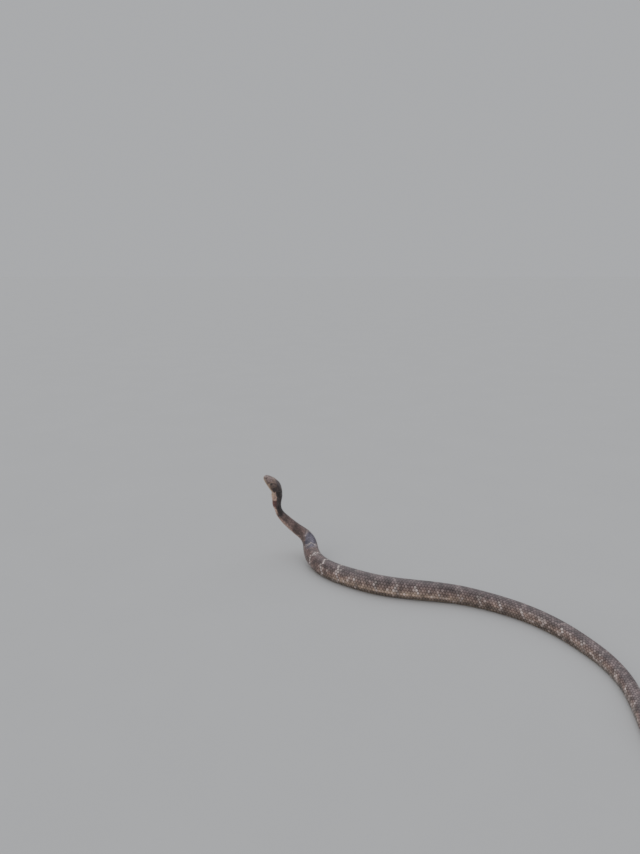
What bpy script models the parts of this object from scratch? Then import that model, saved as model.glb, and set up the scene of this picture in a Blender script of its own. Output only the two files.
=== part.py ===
"""King cobra with its head and neck raised, a still, life-size model.

Metres, +Z up. The floor is z = 0, and the origin is on it, under the middle of the model's box.
The snake's line runs from the snout tip to the tail tip. s is the length along it. A cross-section
is given by phi, the angle round from the middle of the back (0) to the middle of the belly (180).
"""

import math

import bmesh
import bpy
import numpy as np
from mathutils import Vector

# Driving sizes
TOTAL_LENGTH = 2.80
HEAD_LENGTH = 0.088  # from the snout tip to where the neck's node begins
STIFF_LENGTH = 0.050  # of the skull, which doesn't bend with the line
FACE_GAP = 0.0003  # between neighbouring nodes

# The line's places seen from above, from the snout to the tail, and how far each is lifted
# above where it would rest on the floor.
ROUTE = (
    (-0.744, 0.507, 0.274),
    (-0.721, 0.510, 0.256),
    (-0.701, 0.514, 0.2375),
    (-0.6955, 0.518, 0.2105),
    (-0.6985, 0.523, 0.180),
    (-0.693, 0.528, 0.148),
    (-0.674, 0.532, 0.119),
    (-0.650, 0.534, 0.093),
    (-0.625, 0.533, 0.071),
    (-0.601, 0.526, 0.055),
    (-0.586, 0.509, 0.038),
    (-0.582, 0.482, 0.023),
    (-0.573, 0.447, 0.010),
    (-0.556, 0.411, 0.003),
    (-0.530, 0.376, 0.000),
    (-0.495, 0.342, 0.000),
    (-0.445, 0.307, 0.000),
    (-0.390, 0.275, 0.000),
    (-0.330, 0.253, 0.000),
    (-0.265, 0.238, 0.000),
    (-0.195, 0.225, 0.000),
    (-0.134, 0.211, 0.000),
    (-0.073, 0.186, 0.000),
    (-0.010, 0.150, 0.000),
    (0.043, 0.110, 0.000),
    (0.093, 0.056, 0.000),
    (0.148, -0.037, 0.000),
    (0.174, -0.104, 0.000),
    (0.184, -0.174, 0.000),
    (0.176, -0.253, 0.000),
    (0.158, -0.350, 0.000),
    (0.157, -0.445, 0.000),
    (0.193, -0.518, 0.000),
    (0.268, -0.538, 0.000),
    (0.340, -0.500, 0.000),
    (0.385, -0.425, 0.000),
    (0.410, -0.340, 0.000),
    (0.446, -0.256, 0.000),
    (0.510, -0.194, 0.000),
    (0.590, -0.150, 0.000),
    (0.655, -0.090, 0.000),
    (0.690, -0.005, 0.000),
    (0.703, 0.085, 0.000),
    (0.722, 0.168, 0.000),
    (0.740, 0.228, 0.000),
)
ROUTE_STEP = 0.004
ROUTE_SOFTNESS = 0.012  # how far along the line its bends are evened out
HEAD_ROLL = 18.0  # degrees that the top of the head leans to its left side
ROLL_ENDS_AT = 0.30

# Width and height of the body at lengths along the line
GIRTH = (
    # s, width, height
    (0.088, 0.0380, 0.0315),
    (0.110, 0.0315, 0.0275),
    (0.140, 0.0285, 0.0255),
    (0.165, 0.0300, 0.0270),
    (0.190, 0.0335, 0.0305),
    (0.240, 0.0405, 0.0340),
    (0.290, 0.0460, 0.0380),
    (0.350, 0.0530, 0.0430),
    (0.450, 0.0570, 0.0520),
    (0.650, 0.0580, 0.0560),
    (0.800, 0.0565, 0.0550),
    (0.900, 0.0525, 0.0515),
    (1.000, 0.0480, 0.0475),
    (1.250, 0.0425, 0.0420),
    (1.500, 0.0370, 0.0365),
    (1.800, 0.0340, 0.0335),
    (2.100, 0.0300, 0.0295),
    (2.240, 0.0275, 0.0270),
    (2.300, 0.0240, 0.0235),
    (2.500, 0.0160, 0.0155),
    (2.680, 0.0085, 0.0080),
    (2.770, 0.0045, 0.0043),
    (2.800, 0.0022, 0.0022),
)
LOWER_SHARE = 0.46  # the widest place's height, as a share of the section's height
BACK_FULLNESS = 2.1
BELLY_FULLNESS = 2.6
BELLY_CUT = 1.10  # the rounded belly would reach this much lower than the flat that cuts it

# The head's outline, seen from above and from the side, with heights above the throat's line
HEAD_OUTLINE = (
    # a, half-width, top, bottom
    (0.0000, 0.0000, 0.0150, 0.0150),
    (0.0012, 0.0056, 0.0196, 0.0102),
    (0.0040, 0.0092, 0.0226, 0.0080),
    (0.0080, 0.0121, 0.0254, 0.0062),
    (0.0140, 0.0150, 0.0282, 0.0047),
    (0.0220, 0.0179, 0.0305, 0.0033),
    (0.0300, 0.0204, 0.0324, 0.0023),
    (0.0380, 0.0226, 0.0339, 0.0014),
    (0.0480, 0.0252, 0.0350, 0.0004),
    (0.0580, 0.0268, 0.0354, -0.0005),
    (0.0680, 0.0261, 0.0350, -0.0010),
    (0.0780, 0.0229, 0.0335, -0.0008),
    (0.0880, 0.0190, 0.0315, 0.0000),
)
HEAD_FULLNESS = (2.9, 2.3)  # superellipse powers above and below the widest place
HEAD_WIDEST = 0.44  # the widest place's height, as a share of the head's height
NAPE_BLEND = (0.060, 0.088)  # where the head's section turns into the body's
BROW = {"at": 0.0310, "phi": 50.0, "length": 0.0105, "spread": 15.0, "height": 0.0012}
CHEEK = {"at": 0.0180, "phi": 84.0, "length": 0.0080, "spread": 14.0, "height": -0.0008}

# The line of the mouth, seen from the side
MOUTH_LINE = (
    (-0.0060, 0.0114),
    (0.0060, 0.0106),
    (0.0220, 0.0102),
    (0.0380, 0.0108),
    (0.0500, 0.0122),
    (0.0582, 0.0139),
    (0.0612, 0.0134),
    (0.0632, 0.0112),
    (0.0648, 0.0060),
    (0.0655, -0.0060),
)
MOUTH_GAP = 0.0004

EYE_DIAMETER = 0.0088
EYE_AT = (0.0305, 0.0218)  # from the snout tip, above the throat's line
EYE_STANDS_OUT = 0.0016
NOSTRIL_AT = (0.0068, 0.0185)
NOSTRIL_RADIUS = 0.0015
NOSTRIL_DEPTH = 0.0030

# The large shields of the head's left half: corners as (a in mm, phi). A shield that starts and
# ends at phi 0 is one piece with its mirror image.
SHIELDS = {
    "rostral": ((0.5, 112), (1.5, 96), (1.9, 72), (2.4, 38), (2.8, 0)),
    "internasal": ((3.2, 0), (8.6, 0), (8.2, 34), (5.6, 50), (2.9, 44)),
    "prefrontal": ((8.6, 0), (17.6, 0), (18.6, 24), (19.6, 42), (16.5, 62), (11.5, 64), (8.2, 34)),
    "frontal": ((17.6, 0), (18.6, 24), (29.5, 23), (36.5, 0)),
    "supraocular": ((18.6, 24), (19.6, 42), (24.5, 53), (35.5, 55), (38.0, 42), (29.5, 23)),
    "parietal": ((36.5, 0), (54.5, 0), (55.5, 26), (48.0, 50), (41.0, 55), (38.0, 42), (29.5, 23)),
    "occipital": ((54.5, 0), (69.0, 0), (68.5, 30), (61.0, 42), (55.5, 26)),
    "temporal_front": ((37.5, 60), (45.0, 58), (46.5, 77), (38.0, 78)),
    "temporal_rear": ((45.0, 58), (54.5, 46), (58.0, 66), (46.5, 77)),
    "chin_front": ((9.0, 180), (23.0, 180), (24.0, 158), (15.0, 148), (10.0, 158)),
    "chin_rear": ((23.0, 180), (38.0, 180), (36.0, 164), (24.0, 158)),
}
LABIAL_EDGES = (2.2, 7.5, 14.0, 21.5, 30.0, 39.0, 48.5, 57.5)  # mm from the snout
LABIAL_HEIGHTS = (0.0062, -0.0052)  # of the lips' plates, above and below the line of the mouth
LIP_WIDTH = 0.0011  # between the line of the mouth and the plates on each side of it
SHIELD_GAP = 0.0005
SHIELD_STANDS_OUT = 0.0005
SHIELD_ROOT = 0.0016

# Rings of the solids
HEAD_RINGS = 21
HEAD_SIDES = 24
BACK_ANGLES = (0, 25, 50, 75, 98, 120)
KEEL_X = 0.56  # half-width of the belly's flat, as a share of the half-width
FLOOR_FLAT = 0.34  # the part of that flat that the scutes' steps leave level on the floor
SCUTE_PITCH = 0.0185  # two of the animal's own
SHORTEST_SCUTE = 0.90  # of that, where the body is thin
SCUTE_STEP = 0.0007
SCUTE_LIP = 0.0014
SCUTE_FROM_PHI = 110.0

# Where the body is divided, from the nape to the tail tip
LENGTHS = (
    ("neck_upper", 0.088, 0.200),
    ("neck_lower", 0.200, 0.340),
    ("body_1", 0.340, 0.580),
    ("body_2", 0.580, 0.820),
    ("body_3", 0.820, 1.060),
    ("body_4", 1.060, 1.300),
    ("body_5", 1.300, 1.540),
    ("body_6", 1.540, 1.780),
    ("body_7", 1.780, 2.020),
    ("body_8", 2.020, 2.240),
    ("tail_1", 2.240, 2.440),
    ("tail_2", 2.440, 2.630),
    ("tail_tip", 2.630, TOTAL_LENGTH),
)


def eased(at, knots, values, keep_within=True):
    """Cubic curve through the values. keep_within stops it from swinging past them."""
    knots, values = np.asarray(knots, float), np.asarray(values, float)
    rise = np.diff(values) / np.diff(knots)
    slope = np.gradient(values, knots)
    if keep_within:
        product = rise[:-1] * rise[1:]
        total = np.where(product > 0, rise[:-1] + rise[1:], 1.0)
        slope[1:-1] = np.where(product > 0, 2 * product / total, 0.0)
    at = np.clip(at, knots[0], knots[-1])
    i = np.clip(np.searchsorted(knots, at, side="right") - 1, 0, len(knots) - 2)
    step = knots[i + 1] - knots[i]
    x = (at - knots[i]) / step
    return (
        values[i] * (1 + 2 * x) * (1 - x) ** 2
        + values[i + 1] * x * x * (3 - 2 * x)
        + step * (slope[i] * x * (1 - x) ** 2 - slope[i + 1] * x * x * (1 - x))
    )


def smooth_step(x, start, end):
    x = np.clip((np.asarray(x, float) - start) / (end - start), 0, 1)
    return x * x * (3 - 2 * x)


class Line:
    """The snake's line, with its length evened out and its bends softened."""

    def __init__(self):
        route = np.array(ROUTE)
        knots = np.concatenate([[0], np.cumsum(np.linalg.norm(np.diff(route, axis=0), axis=1))])
        fine = np.arange(0, knots[-1], ROUTE_STEP)
        path = np.stack(
            [eased(fine, knots, route[:, axis], keep_within=axis == 2) for axis in range(3)], axis=1
        )
        reach = int(round(4 * ROUTE_SOFTNESS / ROUTE_STEP))
        weight = np.exp(-0.5 * (np.arange(-reach, reach + 1) * ROUTE_STEP / ROUTE_SOFTNESS) ** 2)
        weight /= weight.sum()
        before = path[0] + np.arange(-reach, 0)[:, None] * (path[1] - path[0])
        after = path[-1] + np.arange(1, reach + 1)[:, None] * (path[-1] - path[-2])
        longer = np.concatenate([before, path, after])
        path = np.stack([np.convolve(longer[:, a], weight, "valid") for a in range(3)], axis=1)
        path[:, 2] = np.maximum(path[:, 2], 0)
        path[path[:, 2] < 2e-5, 2] = 0
        self.path = path
        self.s = np.concatenate([[0], np.cumsum(np.linalg.norm(np.diff(path, axis=0), axis=1))])
        self.tangent = np.stack([np.gradient(path[:, a], self.s) for a in range(3)], axis=1)
        start = np.array([np.interp(STIFF_LENGTH, self.s, path[:, a]) for a in range(3)])
        along = np.array([np.interp(STIFF_LENGTH, self.s, self.tangent[:, a]) for a in range(3)])
        along /= np.linalg.norm(along)
        stiff = self.s < STIFF_LENGTH
        self.path[stiff] = start + (self.s[stiff, None] - STIFF_LENGTH) * along
        self.tangent[stiff] = along

    def frame(self, s):
        """Places on the line, with the directions to the tail, to the left and to the back."""
        s = np.asarray(s, float)
        place = np.stack([np.interp(s, self.s, self.path[:, a]) for a in range(3)], axis=-1)
        along = np.stack([np.interp(s, self.s, self.tangent[:, a]) for a in range(3)], axis=-1)
        along /= np.linalg.norm(along, axis=-1, keepdims=True)
        back = np.array([0, 0, 1.0]) - along[..., 2:] * along
        back /= np.linalg.norm(back, axis=-1, keepdims=True)
        left = np.cross(along, back)
        roll = np.radians(HEAD_ROLL) * (1 - smooth_step(s, HEAD_LENGTH, ROLL_ENDS_AT))[..., None]
        rolled_back = back * np.cos(roll) + left * np.sin(roll)
        rolled_left = left * np.cos(roll) - back * np.sin(roll)
        width, height = girth(s)
        place[..., 2] += LOWER_SHARE * height
        return place, along, rolled_left, rolled_back


def girth(s):
    stations = np.array(GIRTH)
    return eased(s, stations[:, 0], stations[:, 1]), eased(s, stations[:, 0], stations[:, 2])


def body_section(phi, width, height):
    """Sideways and upward places of a body section: a full oval with a flat belly."""
    angle = np.radians(phi)
    sine, cosine = np.sin(angle), np.cos(angle)
    power = np.where(cosine >= 0, BACK_FULLNESS, BELLY_FULLNESS)
    lower = LOWER_SHARE * height
    reach = np.where(cosine >= 0, height - lower, lower * BELLY_CUT)
    x = width / 2 * np.sign(sine) * np.abs(sine) ** (2 / power)
    z = reach * np.sign(cosine) * np.abs(cosine) ** (2 / power)
    return x, np.maximum(z, -lower)


def head_section(phi, a):
    """The same for the head, as far from the snout tip as a says."""
    table = np.array(HEAD_OUTLINE)
    at, knots = np.sqrt(np.maximum(a, 0) / HEAD_LENGTH), np.sqrt(table[:, 0] / HEAD_LENGTH)
    half, top, bottom = (eased(at, knots, table[:, column]) for column in (1, 2, 3))
    angle = np.radians(phi)
    sine, cosine = np.sin(angle), np.cos(angle)
    power = np.where(cosine >= 0, HEAD_FULLNESS[0], HEAD_FULLNESS[1])
    widest = bottom + HEAD_WIDEST * (top - bottom)
    reach = np.where(cosine >= 0, top - widest, widest - bottom)
    x = half * np.sign(sine) * np.abs(sine) ** (2 / power)
    z = widest + reach * np.sign(cosine) * np.abs(cosine) ** (2 / power)
    for form in (BROW, CHEEK):
        near = np.exp(-(((a - form["at"]) / form["length"]) ** 2) - ((phi - form["phi"]) / form["spread"]) ** 2)
        x = x + form["height"] * near * sine
        z = z + form["height"] * near * cosine
    width, height = girth(HEAD_LENGTH)
    body_x, body_z = body_section(phi, width, height)
    body_z = body_z + LOWER_SHARE * height
    share = smooth_step(a, *NAPE_BLEND)
    return x * (1 - share) + body_x * share, z * (1 - share) + body_z * share


def in_head(a, x, z):
    """World place of a point of the head: a from the snout tip, x to the left, z above the throat."""
    a, x, z = (np.asarray(value, float) for value in (a, x, z))
    place, along, left, back = LINE.frame(np.maximum(a, 0))
    drop = LOWER_SHARE * girth(HEAD_LENGTH)[1]
    ahead = np.minimum(a, 0)[..., None] * along
    return place + ahead + x[..., None] * left + (z - drop)[..., None] * back


def head_surface(a, phi, raised=0.0):
    """A point of the head's skin, raised along its outward direction. phi is negative on the right."""
    a, phi = np.asarray(a, float), np.asarray(phi, float)
    side = np.where(phi < 0, -1.0, 1.0)
    x, z = head_section(np.abs(phi), a)
    nudge = 0.5
    x_before, z_before = head_section(np.abs(phi) - nudge, a)
    x_after, z_after = head_section(np.abs(phi) + nudge, a)
    normal = np.stack([-(z_after - z_before), x_after - x_before], axis=-1)
    normal /= np.linalg.norm(normal, axis=-1, keepdims=True)
    return in_head(a, side * (x + raised * normal[..., 0]), z + raised * normal[..., 1])


def material(name, colour, roughness):
    made = bpy.data.materials.new(name)
    made.use_nodes = True
    shader = made.node_tree.nodes["Principled BSDF"]
    shader.inputs["Base Color"].default_value = (*colour, 1)
    shader.inputs["Roughness"].default_value = roughness
    shader.inputs["Metallic"].default_value = 0.0
    return made


def collection(name):
    made = bpy.data.collections.new(name)
    bpy.context.scene.collection.children.link(made)
    return made


def mesh_object(name, mesh_data, into, finish=None):
    made = bpy.data.objects.new(name, mesh_data)
    into.objects.link(made)
    if finish:
        made.data.materials.clear()
        made.data.materials.append(finish)
    return made


def from_bmesh(name, form, into, finish=None):
    bmesh.ops.recalc_face_normals(form, faces=form.faces)
    mesh_data = bpy.data.meshes.new(name)
    form.to_mesh(mesh_data)
    form.free()
    return mesh_object(name, mesh_data, into, finish)


def cutting_object(name, form, into):
    """An object that only takes part in Booleans."""
    made = from_bmesh(name, form, into)
    made.hide_render = True
    made.display_type = "WIRE"
    return made


def loft(rings, tip=None):
    """A closed form through rings of points, capped at its end and closed at its start by a tip or a cap."""
    form = bmesh.new()
    loops = [[form.verts.new(point) for point in ring] for ring in rings]
    count = len(loops[0])
    for before, after in zip(loops, loops[1:]):
        for i in range(count):
            j = (i + 1) % count
            form.faces.new((before[i], before[j], after[j], after[i]))
    if tip is None:
        form.faces.new(loops[0])
    else:
        point = form.verts.new(tip)
        for i in range(count):
            form.faces.new((point, loops[0][i], loops[0][(i + 1) % count]))
    form.faces.new(loops[-1])
    bmesh.ops.triangulate(form, faces=form.faces)
    return form


def shade(item, angle=40):
    item.data.shade_smooth()
    item.data.set_sharp_from_angle(angle=math.radians(angle))


def evaluated_mesh(item):
    graph = bpy.context.evaluated_depsgraph_get()
    return bpy.data.meshes.new_from_object(item.evaluated_get(graph))


def apply_boolean(item, operation, operand=None, operands=None):
    """Applies one Boolean modifier, with an object or a collection, and removes what it used."""
    modifier = item.modifiers.new("Boolean", "BOOLEAN")
    modifier.solver = "MANIFOLD"
    modifier.operation = operation
    if operands:
        modifier.operand_type = "COLLECTION"
        modifier.collection = operands
    else:
        modifier.object = operand
    bpy.context.view_layer.update()
    old = item.data
    finish = old.materials[0]
    item.data = evaluated_mesh(item)
    item.modifiers.clear()
    bpy.data.meshes.remove(old)
    item.data.materials.clear()
    item.data.materials.append(finish)
    for used in list(operands.objects) if operands else [operand]:
        bpy.data.objects.remove(used)


def closed_bodies(item):
    """The item's separate closed surfaces as lists of faces, largest first."""
    form = bmesh.new()
    form.from_mesh(item.data)
    bmesh.ops.remove_doubles(form, verts=form.verts, dist=2e-6)
    left, bodies = set(form.faces), []
    while left:
        queue, body = [left.pop()], []
        while queue:
            face = queue.pop()
            body.append(face)
            for edge in face.edges:
                for other in edge.link_faces:
                    if other in left:
                        left.remove(other)
                        queue.append(other)
        bodies.append(body)
    bodies.sort(key=len, reverse=True)
    return form, bodies


def keep_body(item, index):
    """Leaves the item only its index-th largest closed surface."""
    form, bodies = closed_bodies(item)
    gone = [face for i, body in enumerate(bodies) if i != index for face in body]
    bmesh.ops.delete(form, geom=gone, context="FACES")
    bmesh.ops.delete(form, geom=[v for v in form.verts if not v.link_faces], context="VERTS")
    form.to_mesh(item.data)
    form.free()


def scute_ring(s, stepped):
    """One ring of the body. A stepped ring is a belly scute's free rear edge, which stands proud."""
    place, along, left, back = LINE.frame(s)
    width, height = girth(s)
    points = []
    step = SCUTE_STEP * min(1.0, width / 0.03) if stepped else 0.0
    lift = float(place[2]) - LOWER_SHARE * float(height)
    for phi in BACK_ANGLES:
        x, z = body_section(np.array(float(phi)), width, height)
        share = smooth_step(phi, SCUTE_FROM_PHI - 20, SCUTE_FROM_PHI)
        points.append((float(x) + step * share, float(z) - 0.3 * step * share))
    floor = -LOWER_SHARE * height
    keel = max(0.0, SCUTE_STEP - lift) - step
    points.append((KEEL_X * width / 2 + step, floor + keel))
    points.append((FLOOR_FLAT * width / 2, floor - min(step, lift)))
    mirrored = [(-x, z) for x, z in reversed(points[1:])]
    return [tuple(place + x * left + z * back) for x, z in points + mirrored]


def body_length(name, start, end, into, finish):
    """One length of the body, with its back smooth and its belly stepped at every scute."""
    width, _ = girth((start + end) / 2)
    pitch = SCUTE_PITCH * max(SHORTEST_SCUTE, float(width) / 0.056)
    count = max(3, round((end - start) / pitch))
    edges = np.linspace(start + FACE_GAP / 2, end - FACE_GAP / 2, count + 1)
    rings = []
    for i in range(count):
        rear = edges[i + 1] - (SCUTE_LIP if i < count - 1 else 0.0)
        rings.append(scute_ring(edges[i], stepped=False))
        rings.append(scute_ring(rear, stepped=True))
    item = from_bmesh(name, loft(rings), into, finish)
    shade(item)
    return item


def head_rings():
    """Rings of the whole head, close together at the round snout."""
    steps = np.linspace(0.11, 1, HEAD_RINGS)
    phi = np.linspace(0, 360, HEAD_SIDES, endpoint=False)
    folded = np.where(phi > 180, phi - 360, phi)
    last = HEAD_LENGTH - FACE_GAP / 2
    return [[tuple(p) for p in head_surface(np.full(HEAD_SIDES, min(HEAD_LENGTH * t * t, last)), folded)] for t in steps]


def mouth_cutter(into):
    """A thin wall along the line of the mouth and down behind the jaw, wider than the head."""
    line = np.array(MOUTH_LINE)
    run = np.gradient(line, axis=0)
    across = np.stack([-run[:, 1], run[:, 0]], axis=1) / np.linalg.norm(run, axis=1, keepdims=True)
    upper, lower = line + across * MOUTH_GAP / 2, line - across * MOUTH_GAP / 2
    half = 0.045
    rings = [
        [tuple(in_head(a, x, z)) for (a, z), x in ((high, -half), (high, half), (low, half), (low, -half))]
        for high, low in zip(upper, lower)
    ]
    return cutting_object("mouth_cutter", loft(rings), into)


def ball(centre, radius):
    """A sphere's form, for an eye or its socket."""
    form = bmesh.new()
    bmesh.ops.create_uvsphere(form, u_segments=16, v_segments=10, radius=radius)
    bmesh.ops.translate(form, verts=form.verts, vec=Vector(centre))
    return form


def side_at(a, z):
    """Half-width of the head at a height above the throat's line."""
    phi = np.linspace(20, 160, 281)
    x, height = head_section(phi, np.full_like(phi, a))
    return float(np.interp(-z, -height, x))


def eye_centre(side):
    a, z = EYE_AT
    return in_head(a, side * (side_at(a, z) + EYE_STANDS_OUT - EYE_DIAMETER / 2), z)


def nostril_cutter(side, into):
    a, z = NOSTRIL_AT
    outer = in_head(a - 0.0010, side * (side_at(a, z) + 0.0010), z)
    inner = in_head(a + 0.0004, side * (side_at(a, z) - NOSTRIL_DEPTH), z)
    along = Vector(inner) - Vector(outer)
    form = bmesh.new()
    bmesh.ops.create_cone(
        form,
        cap_ends=True,
        segments=8,
        radius1=NOSTRIL_RADIUS * 1.15,
        radius2=NOSTRIL_RADIUS * 0.6,
        depth=along.length,
    )
    turn = Vector((0, 0, 1)).rotation_difference(along).to_matrix()
    bmesh.ops.rotate(form, verts=form.verts, matrix=turn)
    bmesh.ops.translate(form, verts=form.verts, vec=(Vector(outer) + Vector(inner)) / 2)
    return cutting_object("nostril_cutter", form, into)


def inset(corners, by):
    """Corners of an outline moved inwards, in metres on the unrolled skin."""
    around = 0.018 * math.pi / 180  # metres a degree, about the head's mean radius
    flat = np.array([(a / 1000, phi * around) for a, phi in corners])
    middle = flat.mean(axis=0)
    out = []
    for before, here, after in zip(np.roll(flat, 1, axis=0), flat, np.roll(flat, -1, axis=0)):
        first, second = here - before, after - here
        sides = []
        for run in (first, second):
            across = np.array([-run[1], run[0]]) / np.linalg.norm(run)
            sides.append(across if across @ (middle - here) > 0 else -across)
        corner = sides[0] + sides[1]
        corner /= max(0.5, 1 + sides[0] @ sides[1])
        moved = here + by * corner
        out.append((moved[0], moved[1] / around))
    return out


def shield_middles(name, a, phi):
    """The plate's raised middle and its sunk one. The rostral's are on the snout's tip."""
    if name == "rostral":
        tip = HEAD_OUTLINE[0][2]
        return in_head(-SHIELD_STANDS_OUT, 0.0, tip), in_head(2 * SHIELD_ROOT, 0.0, tip)
    crown = head_surface(a.mean(), phi.mean(), SHIELD_STANDS_OUT * 1.5)
    return crown, head_surface(a.mean(), phi.mean(), -SHIELD_ROOT * 1.4)


def shield_plate(name, corners, into):
    """A raised plate: its corners and middle stand out of the skin, and its root is sunk in it."""
    edge = inset(corners, SHIELD_GAP)
    a = np.array([corner[0] for corner in edge])
    phi = np.array([corner[1] for corner in edge])
    top = head_surface(a, phi, SHIELD_STANDS_OUT)
    root = head_surface(a, phi, -SHIELD_ROOT)
    crown, core = shield_middles(name, a, phi)
    form = bmesh.new()
    upper = [form.verts.new(point) for point in top]
    lower = [form.verts.new(point) for point in root]
    peak, base = form.verts.new(crown), form.verts.new(core)
    for i in range(len(upper)):
        j = (i + 1) % len(upper)
        form.faces.new((upper[i], upper[j], peak))
        form.faces.new((lower[j], lower[i], base))
        form.faces.new((upper[j], upper[i], lower[i], lower[j]))
    bmesh.ops.triangulate(form, faces=form.faces)
    return cutting_object(name, form, into)


def phi_at(a, z):
    """The angle round the head's section where it is at a height above the throat's line."""
    phi = np.linspace(5, 175, 341)
    _, height = head_section(phi, np.full_like(phi, a))
    return float(np.interp(-z, -height, phi))


def mouth_height(a):
    line = np.array(MOUTH_LINE[:6])
    return float(np.interp(a, line[:, 0], line[:, 1]))


def labials(height):
    """Outlines of a lip's plates, from beside the line of the mouth up, or down, by a height."""
    outlines = []
    lip = math.copysign(LIP_WIDTH, height)
    for front, rear in zip(LABIAL_EDGES, LABIAL_EDGES[1:]):
        under_eye = height > 0 and 25 < rear and front < 35
        outer = height * 0.62 if under_eye else height
        corners = []
        for edge, rise in ((front, lip), (rear, lip), (rear, outer), (front, outer)):
            corners.append((edge, phi_at(edge / 1000, mouth_height(edge / 1000) + rise)))
        outlines.append(tuple(corners))
    return outlines


def shield_outlines():
    """Every plate of the head, both sides."""
    plates = []
    for name, corners in SHIELDS.items():
        mirrored = [(a, -phi) for a, phi in reversed(corners)]
        if name in ("rostral", "frontal"):
            whole = [*corners, *(corner for corner in mirrored if corner[1] != 0)]
            plates.append((name, whole))
        else:
            plates += [(name + "_left", corners), (name + "_right", mirrored)]
    lips = labials(LABIAL_HEIGHTS[0]) + labials(LABIAL_HEIGHTS[1])[:-1]
    for i, corners in enumerate(lips):
        mirrored = [(a, -phi) for a, phi in reversed(corners)]
        plates += [(f"labial_{i}_left", corners), (f"labial_{i}_right", mirrored)]
    return plates


def build_head(into, finishes):
    """The head with its shields, cut along the mouth, with sockets and nostrils."""
    cutters = collection("cutters")
    cutters.hide_render = True
    tip = tuple(in_head(0.0, 0.0, HEAD_OUTLINE[0][2]))
    head = from_bmesh("head", loft(head_rings(), tip), into, finishes["head"])
    plates = collection("plates")
    for name, corners in shield_outlines():
        shield_plate(name, corners, plates)
    apply_boolean(head, "UNION", operands=plates)
    bpy.data.collections.remove(plates)
    keep_body(head, 0)
    for side in (1, -1):
        hollow = ball(eye_centre(side), EYE_DIAMETER / 2 + FACE_GAP)
        apply_boolean(head, "DIFFERENCE", operand=cutting_object("socket", hollow, cutters))
        apply_boolean(head, "DIFFERENCE", operand=nostril_cutter(side, cutters))
    apply_boolean(head, "DIFFERENCE", operand=mouth_cutter(cutters))
    jaw = mesh_object("lower_jaw", head.data.copy(), into, finishes["throat"])
    keep_body(head, 0)
    keep_body(jaw, 1)
    shade(head)
    shade(jaw)
    for name, side in (("eye_left", 1), ("eye_right", -1)):
        eye = from_bmesh(name, ball(eye_centre(side), EYE_DIAMETER / 2), into, finishes["eye"])
        shade(eye)


def main():
    for old in list(bpy.data.objects):
        bpy.data.objects.remove(old)
    snake = collection("king_cobra")
    finishes = {
        "head": material("head_shields", (0.115, 0.090, 0.072), 0.45),
        "throat": material("throat", (0.46, 0.34, 0.17), 0.5),
        "body": material("body_scales", (0.120, 0.098, 0.082), 0.48),
        "tail": material("tail_scales", (0.075, 0.062, 0.052), 0.48),
        "eye": material("eye", (0.030, 0.018, 0.010), 0.08),
    }
    build_head(snake, finishes)
    for name, start, end in LENGTHS:
        kind = "tail" if name.startswith("tail") else "body"
        body_length(name, start, end, snake, finishes[kind])


LINE = Line()
main()
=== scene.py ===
"""King cobra with its head and neck raised: skin, scales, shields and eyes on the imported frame.

Metres, +Z up. s is the length along the snake's line from the snout tip. phi is the angle round a
cross-section from the middle of the back (0) to the middle of the belly (180), negative on the
right side. q is the same as a share of the half girth, measured along the skin (0 to 1).
"""

import math

import bmesh
import bpy
import numpy as np
from bpy.props import FloatProperty, FloatVectorProperty, PointerProperty
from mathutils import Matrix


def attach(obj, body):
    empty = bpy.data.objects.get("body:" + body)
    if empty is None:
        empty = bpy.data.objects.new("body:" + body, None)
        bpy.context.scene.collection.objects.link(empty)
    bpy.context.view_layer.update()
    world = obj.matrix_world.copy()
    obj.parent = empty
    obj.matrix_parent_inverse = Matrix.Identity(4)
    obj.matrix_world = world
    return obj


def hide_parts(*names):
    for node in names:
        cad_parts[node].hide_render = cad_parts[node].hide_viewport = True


bl_info = {
    "name": "King cobra",
    "version": (1, 0, 0),
    "blender": (4, 5, 0),
    "location": "3D View > Sidebar > King cobra",
    "description": "Builds the skin, scales, shields and eyes of a still king cobra",
    "category": "Add Mesh",
}

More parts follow.
